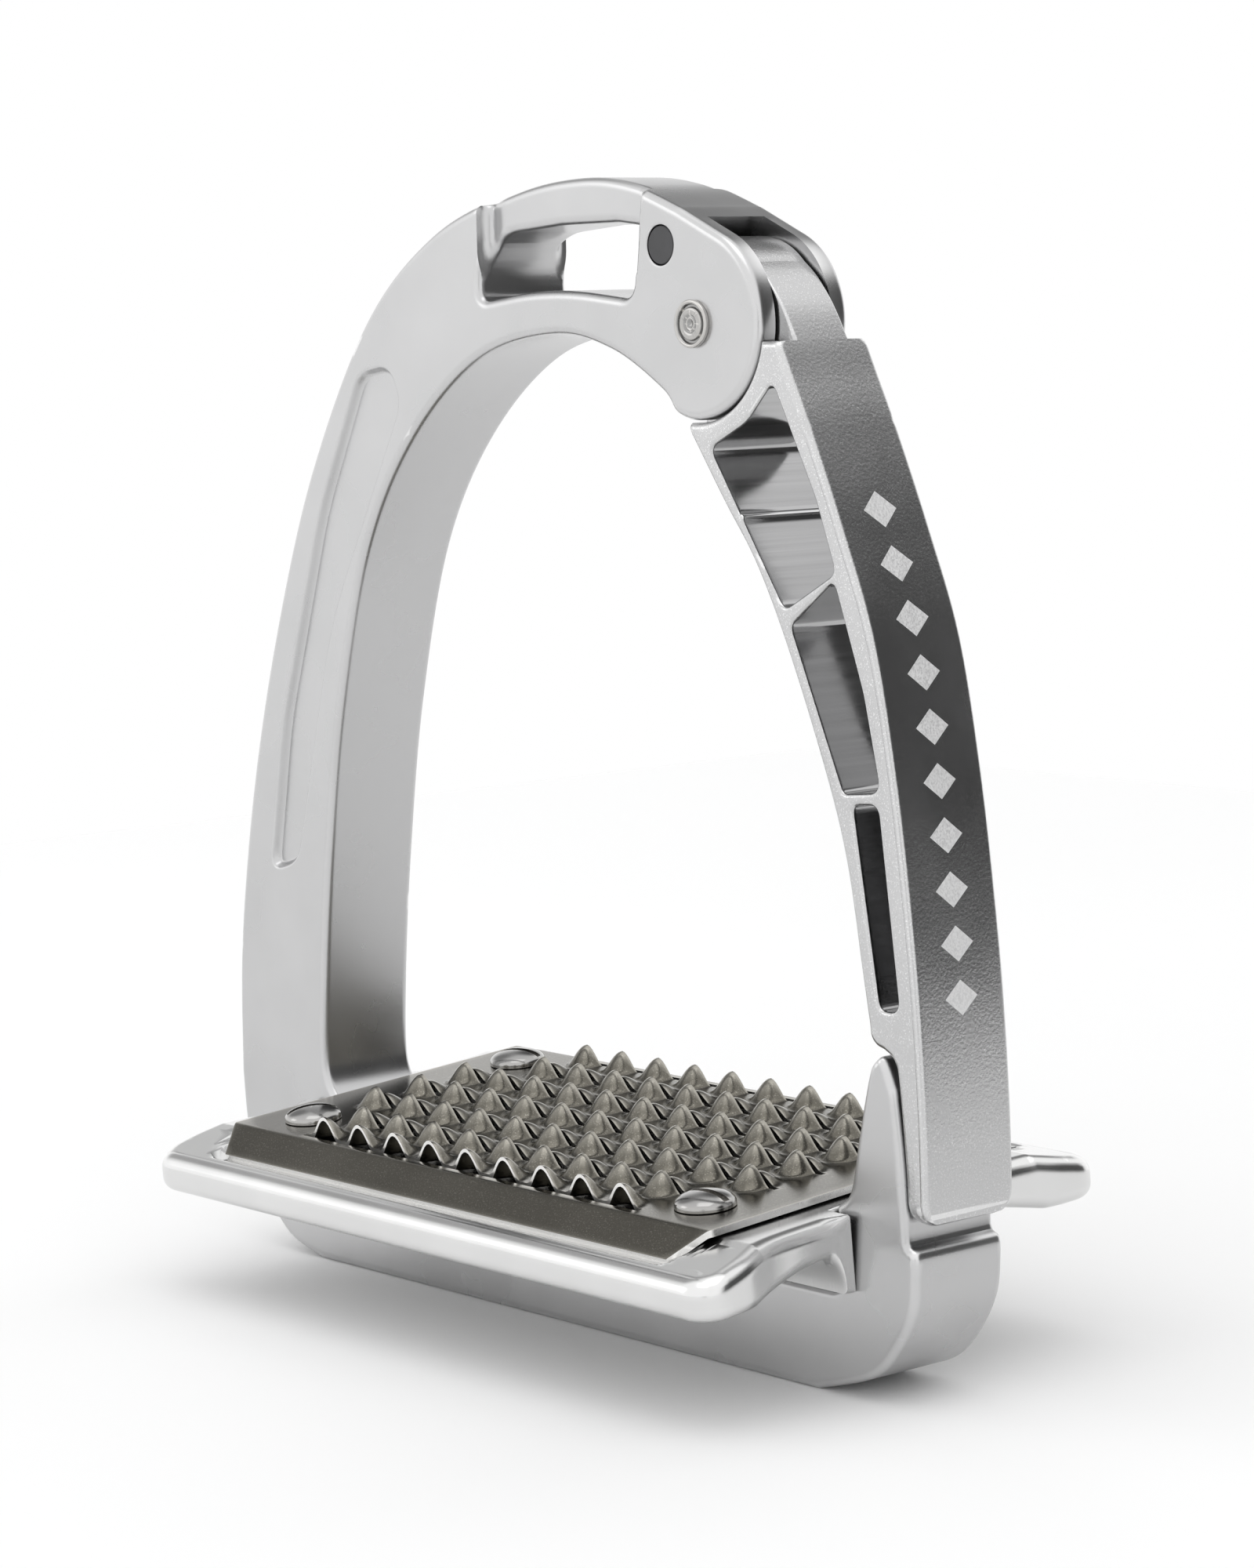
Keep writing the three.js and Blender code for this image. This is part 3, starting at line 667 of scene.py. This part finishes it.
def tray_outline():
    """The tray's plan, with a notch at each end for the frame's branch and post."""
    length, lip, depth = TRAY["half_length"], TRAY["lip_half_length"], TRAY["half_depth"]
    corner, radius = TRAY["corner"], TRAY["cheek"]
    notch_half = HALF_DEPTH + BEAM_GAP
    waist = [(length, notch_half + radius), (length, 15.5), (length + 0.35, 20.5)]
    end = sweep([*waist, (lip - 0.3, 25.5), (lip, depth - corner)])
    quarter = [*end, *arc((lip - corner, depth - corner), corner, 0, 90, 16)]
    cheek = arc((length - radius, notch_half + radius), radius, -90, 0, 8)
    right_notch, left_notch = TRAY["notch"]
    right = [(right_notch, notch_half), *cheek, *quarter]
    left = [(left_notch, notch_half), *[(-x, y) for x, y in [*cheek, *quarter]]]
    rear = [*right, *left[::-1]]
    front = [(x, -y) for x, y in rear[::-1]]
    return evened([*rear, *front], 0.8)


TRAY_OUTLINE = tray_outline()


def tray_top(x, y):
    """Level under the plate, then sloping to the lip, with a groove along the plate's edge."""
    away = np.abs(y)
    start, end = TRAY_SLOPE
    slope = TRAY["top"] + (TRAY["lip"] - TRAY["top"]) * np.clip((away - start) / (end - start), 0, 1)
    deep = TRAY["groove"] - TRAY["lip"]
    dip = np.interp(away, [start, 27.6, 29.2, 30.2], [0, deep, deep, 0])
    flange = np.clip((away - PLATE["flat"]) / (PLATE["reach"] - PLATE["flat"]), 0, 1)
    plate_end = PLATE["half_length"] - PLATE["taper"] * flange
    under_plate = 1 - smooth((np.abs(x) - plate_end - 0.1) / 0.9)
    return slope + dip * under_plate


def tray_bottom(x, y):
    """Hollow on both sides of the saddle; the end walls arch up beside its feet."""
    away = np.abs(y)
    saddle = TRAY["saddle"]
    ends = smooth((np.abs(x) - 36) / 12)
    arch = np.interp(away, [saddle, 12.5, 16, 24], [2.3, 2.3, 1.9, 0]) * ends
    rim = TRAY["underside"] + arch
    points = np.column_stack([x, y])
    edge = distance_to(points, TRAY_OUTLINE)
    hollow = smooth((edge - TRAY["wall"]) / 0.7) * smooth((away - saddle - 0.5) / 0.7)
    shell = rim + (TRAY["ceiling"] - rim) * hollow
    foot = beam_level(y)
    curl = np.clip((away - saddle) / 2.4, 0, 1)
    blend = np.sqrt(1 - (1 - curl) ** 2)
    return np.where(away < saddle, foot, foot + (shell - foot) * blend)


def tray_guides():
    length = TRAY["lip_half_length"]
    steps = [TRAY["saddle"] + s for s in (-0.02, 0, 0.05, 0.2, 0.5, 0.9, 1.4, 2.0, 2.4)]
    levels = [*steps, 12.5, 14, 16, 18, 20, 22, *TRAY_SLOPE, 24, 27.6, 29.4, 30.6]
    guides = []
    for level in levels:
        for side in (-1, 1):
            guides.append(([(-length, side * level), (length, side * level)], False))
    rim = TRAY_OUTLINE if area(TRAY_OUTLINE) > 0 else TRAY_OUTLINE[::-1]
    for extra in (0, 0.2, 0.5, 0.7):
        guides.append((inset(rim, TRAY["wall"] + extra), True))
    plate_end = PLATE["half_length"]
    for x in (36, 40, 44, 48, plate_end - 1.4, plate_end - 0.6, plate_end + 0.2):
        for side in (-1, 1):
            guides.append(([(side * x, -31), (side * x, 31)], False))
    return guides


def make_tray(material):
    """The edges are well rounded, and keener beside the frame."""
    loops = [(TRAY_OUTLINE, 2.1, 1.7)]
    piece = relief(
        "tray_cast", loops, tray_guides(), tray_top, tray_bottom, TREAD, spacing=1.3,
        keen=lambda x, y: 0.25 + 0.75 * smooth((np.abs(y) - HALF_DEPTH - 0.5) / 4),
    )
    return finished(piece, material, "root", ["tread_tray"])


HALF_ROW = TEETH["count"] / 2 * TEETH["pitch"]
COLUMNS_PER_TOOTH = 16


def plate_columns():
    """Distances along the sheet, closest together where the teeth are."""
    step = TEETH["pitch"] / COLUMNS_PER_TOOTH
    inner = np.arange(-HALF_ROW, HALF_ROW + step / 2, step)
    end = PLATE["half_length"]
    margin = np.array([HALF_ROW + 0.8, HALF_ROW + 2.2, HALF_ROW + 4, end - 0.4, end])
    return np.concatenate([-margin[::-1], inner, margin])


def plate_rows():
    """The slits' middles, and the distances across the sheet, laid flat, at which it gets points."""
    half_slit = TEETH["slit"] / 2
    centres = [(i - (TEETH["rows"] - 1) / 2) * TEETH["row_pitch"] for i in range(TEETH["rows"])]
    rows = []
    for left, right in zip(centres[:-1], centres[1:]):
        rows += list(np.linspace(left + half_slit, right - half_slit, 19))
    angle = math.radians(PLATE["angle"])
    bend_end = PLATE["flat"] + PLATE["bend"] * angle
    flange = PLATE["reach"] - PLATE["flat"] - PLATE["bend"] * math.sin(angle)
    edge = bend_end + flange / math.cos(angle)
    bend = np.linspace(PLATE["flat"], bend_end, 6)
    tail = [centres[-1] + half_slit, *bend, bend_end + 0.3, edge - 1.5, edge - 0.25, edge]
    return centres, np.array([-r for r in tail[::-1]] + rows + tail)


def bend_line(s):
    """(depth, height) of a point `s` across the flat sheet, after the flanges are bent down."""
    angle = math.radians(PLATE["angle"])
    away = np.abs(s)
    along = np.clip((away - PLATE["flat"]) / PLATE["bend"], 0, angle)
    beyond = np.maximum(away - PLATE["flat"] - PLATE["bend"] * angle, 0)
    depth = np.minimum(away, PLATE["flat"]) + PLATE["bend"] * np.sin(along) + beyond * math.cos(angle)
    height = -PLATE["bend"] * (1 - np.cos(along)) - beyond * math.sin(angle)
    return np.sign(s) * depth, height


def teeth_in(centre):
    """How many teeth stand along the slit at this distance from the sheet's middle."""
    return TEETH["short_count"] if abs(centre) > SCREW_AT[1] - SCREW_ROOM else TEETH["count"]


def tooth_height(x, s, centres):
    """Punched half cones on both sides of each slit, highest on the slit's edge.

    The first slit has them behind it only, and the last has them in front of it only.
    """
    total = np.zeros(np.broadcast(x, s).shape)
    for index, centre in enumerate(centres):
        half_count = teeth_in(centre) // 2
        nearest = np.clip(np.round(x / TEETH["pitch"]), -half_count, half_count) * TEETH["pitch"]
        away = np.maximum(np.abs(s - centre) - TEETH["slit"] / 2, 0)
        reach = np.sqrt(((x - nearest) / TEETH["width"]) ** 2 + (away / TEETH["length"]) ** 2)
        bump = TEETH["height"] * (1 - np.clip(reach, 0, 1) ** 2) ** 1.7
        front = 1 if index > 0 else 0
        rear = TEETH["rear"] if index > 0 else 1
        if index == len(centres) - 1:
            rear = 0
        total = np.maximum(total, bump * np.where(s < centre, front, rear))
    return total


def sheet_cells(rows, columns, centres):
    """Which cells between the rows and columns are metal and not slit."""
    cells = np.ones((len(rows) - 1, len(columns) - 1), bool)
    row_middles = (rows[:-1] + rows[1:]) / 2
    column_middles = (columns[:-1] + columns[1:]) / 2
    for centre in centres:
        slit_rows = np.abs(row_middles - centre) < TEETH["slit"] / 2
        half = teeth_in(centre) / 2 * TEETH["pitch"]
        cells[slit_rows] &= np.abs(column_middles) > half
    return cells


def make_plate(material, cut_material):
    """The sheet gets thinner where a tooth stretches it, and its cut edges are brighter."""
    centres, rows = plate_rows()
    columns = plate_columns()
    x, s = np.meshgrid(columns, rows)
    depth, height = bend_line(s)
    beyond = np.clip((np.abs(s) - PLATE["flat"]) / (rows[-1] - PLATE["flat"]), 0, 1)
    margin = np.clip((np.abs(x) - HALF_ROW) / (PLATE["half_length"] - HALF_ROW), 0, 1)
    x = x - np.sign(x) * margin * PLATE["taper"] * beyond
    bumps = tooth_height(x, s, centres)
    top = np.stack([x, depth, height + bumps], -1)
    stretched = PLATE["sheet"] / (1 + 0.35 * bumps)
    bottom = top - np.array([0, 0, 1]) * stretched[..., None]
    bottom[..., 1] -= np.sign(s) * beyond * 0.4
    number = np.arange(x.size).reshape(x.shape)
    below = x.size
    faces = []
    for r, c in np.argwhere(sheet_cells(rows, columns, centres)):
        quad = (number[r, c], number[r, c + 1], number[r + 1, c + 1], number[r + 1, c])
        faces.append(tuple(int(q) for q in quad))
    sheet_faces = len(faces)
    known = {(a, b) for f in faces for a, b in zip(f, f[1:] + f[:1])}
    rim = [(a, b) for a, b in known if (b, a) not in known]
    faces += [tuple(q + below for q in reversed(f)) for f in faces[:sheet_faces]]
    faces += [(a, a + below, b + below, b) for a, b in sorted(rim)]
    points = np.concatenate([top.reshape(-1, 3), bottom.reshape(-1, 3)])
    piece = solid("plate_grater", points, faces, TREAD)
    piece.data.materials.append(material)
    piece.data.materials.append(cut_material)
    for face in piece.data.polygons[2 * sheet_faces:]:
        face.material_index = 1
    return finished(piece, material, "root", ["grater_plate"], sharp=50)


def make_screws(material):
    """Low domed heads, each slot left where the driver stopped."""
    radius, height = SCREW_HEAD
    turns = {"front_left": 62, "front_right": 8, "rear_left": 24, "rear_right": 115}
    for name, turn in turns.items():
        depth, hand = name.split("_")
        x = SCREW_AT[0] if hand == "right" else -SCREW_AT[0]
        y = SCREW_AT[1] if depth == "rear" else -SCREW_AT[1]
        place = TREAD @ Matrix.Translation((x, y, 0)) @ Matrix.Rotation(math.radians(turn), 4, "Z")
        angles = np.linspace(0.12, 1.54, 14)
        dome = [(radius * math.cos(a), 0.45 + (height - 0.45) * math.sin(a)) for a in angles]
        shank = [(1.8, -7), (1.8, 0.02)]
        profile = [*shank, (radius - 0.15, 0.02), (radius, 0.12), (radius, 0.4), *dome]
        slot = prism("slot", [(-4, -0.5), (4, -0.5), (4, 0.5), (-4, 0.5)], 1.05, 3, place)
        piece = turned(f"screw_{name}", profile, place, 48, slot)
        finished(piece, material, "root", [f"plate_screw_{name}"])


def make_bolts(material):
    """Countersunk bolts with hexagon sockets, let into the underside of the beam."""
    for index in range(1, 5):
        node = f"tray_bolt_{index}"
        low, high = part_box(node)
        x = (low.x + high.x) / 2
        place = Matrix.Translation((x, 0, 0)) @ Matrix.Scale(MM, 4)
        base, top = low.z / MM, high.z / MM
        profile = [(4.2, base), (4.4, base + 0.2), (2.4, base + 2.7), (2.4, top - 0.4), (2.0, top)]
        socket = prism("socket", arc((0, 0), 1.7, 0, 300, 5), base - 1, base + 1.9, place)
        piece = turned(f"bolt_{index}", profile, place, 48, socket)
        finished(piece, material, "root", [node])


# ------------------------------------------------------------------------------------------------
# Materials


class Nodes:
    """A material being built, with short names for the nodes it uses."""

    def __init__(self, name):
        self.material = bpy.data.materials.new(name)
        self.material.use_nodes = True
        self.tree = self.material.node_tree
        self.shader = self.tree.nodes["Principled BSDF"]
        self.place = self.tree.nodes.new("ShaderNodeTexCoord").outputs["Object"]

    def node(self, kind, **inputs):
        made = self.tree.nodes.new(kind)
        for name, value in inputs.items():
            self.put(made.inputs[name.replace("_", " ")], value)
        return made

    def put(self, socket, value):
        if isinstance(value, bpy.types.NodeSocket):
            self.tree.links.new(value, socket)
        else:
            socket.default_value = value

    def scaled(self, x, y, z):
        return self.node("ShaderNodeMapping", Vector=self.place, Scale=(x, y, z)).outputs[0]

    def noise(self, where, scale, detail=3.0):
        made = self.node("ShaderNodeTexNoise", Vector=where, Scale=scale, Detail=detail, Roughness=0.55)
        return made.outputs["Fac"]

    def ramp(self, value, low, high, out_low, out_high):
        made = self.node("ShaderNodeMapRange", Value=value)
        for index, number in enumerate((low, high, out_low, out_high), 1):
            made.inputs[index].default_value = number
        return made.outputs[0]

    def math(self, operation, a, b):
        made = self.tree.nodes.new("ShaderNodeMath")
        made.operation = operation
        self.put(made.inputs[0], a)
        self.put(made.inputs[1], b)
        return made.outputs[0]

    def mix(self, share, a, b):
        made = self.tree.nodes.new("ShaderNodeMix")
        made.data_type = "RGBA"
        self.put(made.inputs["Factor"], share)
        self.put(made.inputs[6], a)
        self.put(made.inputs[7], b)
        return made.outputs[2]

    def bump(self, height, strength, distance):
        return self.node("ShaderNodeBump", Height=height, Strength=strength, Distance=distance).outputs[0]

    def edges(self):
        """Near 1 on convex edges, for the light wear they get and the painted highlight along them."""
        point = self.tree.nodes.new("ShaderNodeNewGeometry").outputs["Pointiness"]
        return self.ramp(point, 0.51, 0.56, 0, 1)


def grey(value):
    return (value, value, value, 1)


def metal(name, colour, speck_wear_highlight_colour, rough, peel, streaks=None, grain=0.0, flat=None):
    """Bare or anodised metal.

    rough is a (low, high) pair. peel is the depth of the fine orange peel, in micrometres.
    streaks is the axis (0, 1 or 2) that the tool marks run along. grain is how strong the fine specks
    are. Convex edges are lightened towards the second colour, partly as wear and partly as a painted highlight.
    flat is the axis that the piece's flat faces look along: they show no edge wear and no painted highlight.
    """
    n = Nodes(name)
    cloud = n.noise(n.scaled(60, 60, 60), 1.0)
    fine = n.noise(n.scaled(2600, 2600, 2600), 1.0, 2.0)
    shade = n.ramp(cloud, 0.3, 0.7, 0, 1)
    dark = tuple(c * 0.93 for c in colour)
    body = n.mix(shade, (*dark, 1), (*colour, 1))
    if grain:
        speck = n.noise(n.scaled(5200, 5200, 5200), 1.0, 1.0)
        body = n.mix(n.ramp(speck, 0.58, 0.72, 0, grain), body, (*speck_wear_highlight_colour, 1))
    roughness = n.ramp(cloud, 0.3, 0.7, *rough)
    height = fine
    if streaks is not None:
        scale = [1500.0] * 3
        scale[streaks] = 18.0
        lines = n.noise(n.scaled(*scale), 1.0, 2.0)
        body = n.mix(n.ramp(lines, 0.35, 0.75, 0, 0.35), body, (*[c * 0.72 for c in colour], 1))
        roughness = n.math("ADD", roughness, n.ramp(lines, 0.3, 0.7, -0.03, 0.05))
        height = n.math("ADD", n.math("MULTIPLY", lines, 0.7), n.math("MULTIPLY", fine, 0.5))
    # Convex edges are lightened: partly wear, partly a painted highlight along them.
    wear_and_highlight = n.math("MULTIPLY", n.edges(), 0.6)
    if flat is not None:
        normal = n.tree.nodes.new("ShaderNodeNewGeometry").outputs["Normal"]
        across = n.node("ShaderNodeSeparateXYZ", Vector=normal).outputs[flat]
        turned_away = n.ramp(n.math("ABSOLUTE", across, 0), 0.97, 0.998, 1, 0)
        wear_and_highlight = n.math("MULTIPLY", wear_and_highlight, turned_away)
    n.put(n.shader.inputs["Base Color"], n.mix(wear_and_highlight, body, (*speck_wear_highlight_colour, 1)))
    n.put(n.shader.inputs["Roughness"], roughness)
    n.shader.inputs["Metallic"].default_value = 1.0
    n.put(n.shader.inputs["Normal"], n.bump(height, 0.5, peel * 1e-6))
    return n


def etched(n, colour):
    """A plain row of lozenges, lightly etched along the arm's outer face."""
    axes = n.node("ShaderNodeSeparateXYZ", Vector=n.place).outputs
    half_row = LOZENGES["pitch"] * LOZENGES["count"] / 2
    along = n.math("SUBTRACT", axes[2], LOZENGES["first"])
    cell = n.math("FRACT", n.math("DIVIDE", along, LOZENGES["pitch"]), 0)
    across = n.math("ABSOLUTE", n.math("DIVIDE", axes[1], LOZENGES["half_width"]), 0)
    from_middle = n.math("ABSOLUTE", n.math("MULTIPLY", n.math("SUBTRACT", cell, 0.5), 3.0), 0)
    lozenge = n.math("LESS_THAN", n.math("ADD", across, from_middle), 1.0)
    from_row_middle = n.math("ABSOLUTE", n.math("SUBTRACT", along, half_row), 0)
    in_row = n.math("LESS_THAN", from_row_middle, half_row)
    normal = n.tree.nodes.new("ShaderNodeNewGeometry").outputs["Normal"]
    facing = n.math("GREATER_THAN", n.node("ShaderNodeSeparateXYZ", Vector=normal).outputs[0], 0.6)
    outside = n.math("GREATER_THAN", axes[0], LOZENGES["outside"])
    mask = n.math("MULTIPLY", n.math("MULTIPLY", lozenge, in_row), n.math("MULTIPLY", facing, outside))
    dots = n.noise(n.scaled(4200, 4200, 4200), 1.0, 1.0)
    mask = n.math("MULTIPLY", mask, n.ramp(dots, 0.35, 0.6, 0.65, 1.0))
    base, rough = n.shader.inputs["Base Color"], n.shader.inputs["Roughness"]
    n.put(base, n.mix(mask, base.links[0].from_socket, colour))
    n.put(rough, n.math("ADD", rough.links[0].from_socket, n.math("MULTIPLY", mask, 0.3)))
    n.put(n.shader.inputs["Metallic"], n.math("SUBTRACT", 1.0, n.math("MULTIPLY", mask, 0.7)))
    return n


def plastic(name, colour):
    """Moulded nylon with a fine grain."""
    n = Nodes(name)
    cloud = n.noise(n.scaled(400, 400, 400), 1.0)
    light = tuple(min(1, c * 1.5) for c in colour)
    n.put(n.shader.inputs["Base Color"], n.mix(n.ramp(cloud, 0.3, 0.7, 0, 1), (*colour, 1), (*light, 1)))
    n.put(n.shader.inputs["Roughness"], n.ramp(cloud, 0.3, 0.7, 0.5, 0.62))
    grain = n.noise(n.scaled(3000, 3000, 3000), 1.0)
    n.put(n.shader.inputs["Normal"], n.bump(grain, 0.4, 8e-6))
    return n


def make_materials():
    # Each metal's second colour lightens its specks and its convex edges. On the edges that is partly wear and
    # partly a painted highlight.
    silver, bright = (0.55, 0.55, 0.553), (0.9, 0.9, 0.9)
    warm, warm_edge = (0.135, 0.127, 0.108), (0.5, 0.48, 0.43)
    arm = metal("satin_arm", silver, bright, (0.22, 0.29), 42, grain=0.5, flat=1)
    made = {
        "frame": metal("satin_frame", silver, bright, (0.25, 0.32), 8, flat=1),
        "arm": etched(arm, grey(0.8)),
        # The arm's own metal made darker for the windows' walls: painted shade. The streaks along them are die
        # lines.
        "window": metal("drawn_window_painted_shade", (0.46, 0.46, 0.463), bright, (0.12, 0.18), 5, streaks=1),
        "tray": metal("polished_tray", (0.74, 0.74, 0.737), bright, (0.19, 0.26), 3),
        "grater": metal("grater_sheet", warm, warm_edge, (0.17, 0.25), 10, grain=0.3),
        "cut": metal("sheet_cut_edge", (0.78, 0.76, 0.72), bright, (0.2, 0.3), 8, streaks=0),
        "steel": metal("turned_steel", (0.33, 0.328, 0.323), (0.75, 0.73, 0.7), (0.13, 0.2), 2),
        "spring": metal("spring_wire", (0.42, 0.42, 0.44), (0.6, 0.6, 0.62), (0.25, 0.35), 6),
        "bronze": metal("bearing_bronze", (0.60, 0.43, 0.22), (0.8, 0.62, 0.35), (0.28, 0.38), 6),
        "plug": plastic("black_nylon", (0.035, 0.035, 0.037)),
    }
    return {name: n.material for name, n in made.items()}


# ------------------------------------------------------------------------------------------------
# Stage

STUDIO = 1.2  # brightness of the surroundings; what the camera sees of them is plain white

# Each flag's direction, how the space about it is stretched, its inner and outer radius, its brightness
FLAGS = (
    ((0.76, 0.64, 0.19), (1, 1, 1.35), 0.48, 0.84, 0.06),
    ((-0.46, 0.62, 0.62), (1, 1, 1), 0.14, 0.42, 0.16),
    ((-0.76, 0.1, 0.62), (1, 1, 1), 0.15, 0.5, 0.35),
    ((0.64, -0.76, -0.08), (1, 1, 0.5), 0.04, 0.16, 0.3),
)


def plain_colours():
    """Whites stay white: no film curve."""
    bpy.context.scene.view_settings.view_transform = "Standard"


def make_camera():
    """The camera stands to the front right of the iron, a little above it, and is rolled slightly."""
    azimuth, pitch, roll = math.radians(49.66), math.radians(6.475), math.radians(-1.4816)
    target = Vector((0.0084, 0, 0.0687))
    distance = 0.5132
    level = Vector((-math.sin(azimuth), math.cos(azimuth), 0))
    forward = level * math.cos(pitch) - Vector((0, 0, math.sin(pitch)))
    right = Vector((math.cos(azimuth), math.sin(azimuth), 0))
    up = right.cross(forward)
    across = right * math.cos(roll) + up * math.sin(roll)
    upward = up * math.cos(roll) - right * math.sin(roll)
    data = bpy.data.cameras.new("camera")
    data.lens = 94.23
    data.sensor_width = 36
    camera = bpy.data.objects.new("camera", data)
    axes = Matrix((across, upward, -forward)).transposed().to_4x4()
    camera.matrix_world = Matrix.Translation(target - forward * distance) @ axes
    bpy.context.scene.collection.objects.link(camera)
    bpy.context.scene.camera = camera


def make_floor():
    half = 0.48
    corners = [(-half, -half, 0), (half, -half, 0), (half, half, 0), (-half, half, 0)]
    floor = solid("floor", corners, [(0, 1, 2, 3)])
    n = Nodes("pale_floor")
    cloud = n.noise(n.scaled(4, 4, 4), 1.0)
    n.put(n.shader.inputs["Base Color"], n.mix(cloud, grey(0.91), grey(0.94)))
    n.shader.inputs["Roughness"].default_value = 0.75
    floor.data.materials.append(n.material)


def area_light(name, place, target, size, power):
    data = bpy.data.lights.new(name, "AREA")
    data.shape = "RECTANGLE"
    data.size, data.size_y = size
    data.energy = power
    light = bpy.data.objects.new(name, data)
    light.location = place
    light.rotation_euler = (Vector(target) - Vector(place)).to_track_quat("-Z", "Y").to_euler()
    bpy.context.scene.collection.objects.link(light)


def make_world():
    """White studio surroundings, with soft dark flags that give the metal its contrast."""
    world = bpy.data.worlds.new("studio")
    bpy.context.scene.world = world
    world.use_nodes = True
    tree = world.node_tree
    towards = tree.nodes.new("ShaderNodeTexCoord").outputs["Generated"]
    light = None
    for centre, stretch, inner, outer, dark in FLAGS:
        squeezed = tree.nodes.new("ShaderNodeVectorMath")
        squeezed.operation = "MULTIPLY"
        tree.links.new(towards, squeezed.inputs[0])
        squeezed.inputs[1].default_value = stretch
        away = tree.nodes.new("ShaderNodeVectorMath")
        away.operation = "DISTANCE"
        tree.links.new(squeezed.outputs[0], away.inputs[0])
        away.inputs[1].default_value = [c * f for c, f in zip(centre, stretch)]
        soft = tree.nodes.new("ShaderNodeMapRange")
        soft.interpolation_type = "SMOOTHSTEP"
        tree.links.new(away.outputs["Value"], soft.inputs["Value"])
        for index, number in enumerate((inner, outer, dark, 1), 1):
            soft.inputs[index].default_value = number
        if light is None:
            light = soft.outputs[0]
            continue
        both = tree.nodes.new("ShaderNodeMath")
        both.operation = "MULTIPLY"
        tree.links.new(light, both.inputs[0])
        tree.links.new(soft.outputs[0], both.inputs[1])
        light = both.outputs[0]
    seen = tree.nodes.new("ShaderNodeMix")
    tree.links.new(tree.nodes.new("ShaderNodeLightPath").outputs["Is Camera Ray"], seen.inputs["Factor"])
    tree.links.new(light, seen.inputs["A"])
    seen.inputs["B"].default_value = 1 / STUDIO
    background = tree.nodes["Background"]
    tree.links.new(seen.outputs["Result"], background.inputs["Color"])
    background.inputs["Strength"].default_value = STUDIO


def make_light():
    make_world()
    middle = (0, 0, 0.07)
    area_light("front_left", (-1.1, -1.2, 0.7), middle, (0.7, 0.7), 1.2)
    area_light("overhead", (0.2, -0.3, 1.6), middle, (1.0, 1.0), 2.5)


# ------------------------------------------------------------------------------------------------

materials = make_materials()
plain_colours()
make_camera()
make_light()
make_floor()
make_frame(materials["frame"])
make_plugs(materials["plug"])
make_pin(materials["steel"])
make_arm(materials["arm"], materials["window"])
make_tray(materials["tray"])
make_plate(materials["grater"], materials["cut"])
make_screws(materials["steel"])
make_bolts(materials["steel"])
KEPT = {
    "hinge_bush": "bronze",
    "thrust_washer_front": "bronze",
    "thrust_washer_rear": "bronze",
    "closing_plunger": "steel",
    "closing_spring": "spring",
}
for node, finish in KEPT.items():
    frame["nodes"][node].data.materials.clear()
    frame["nodes"][node].data.materials.append(materials[finish])
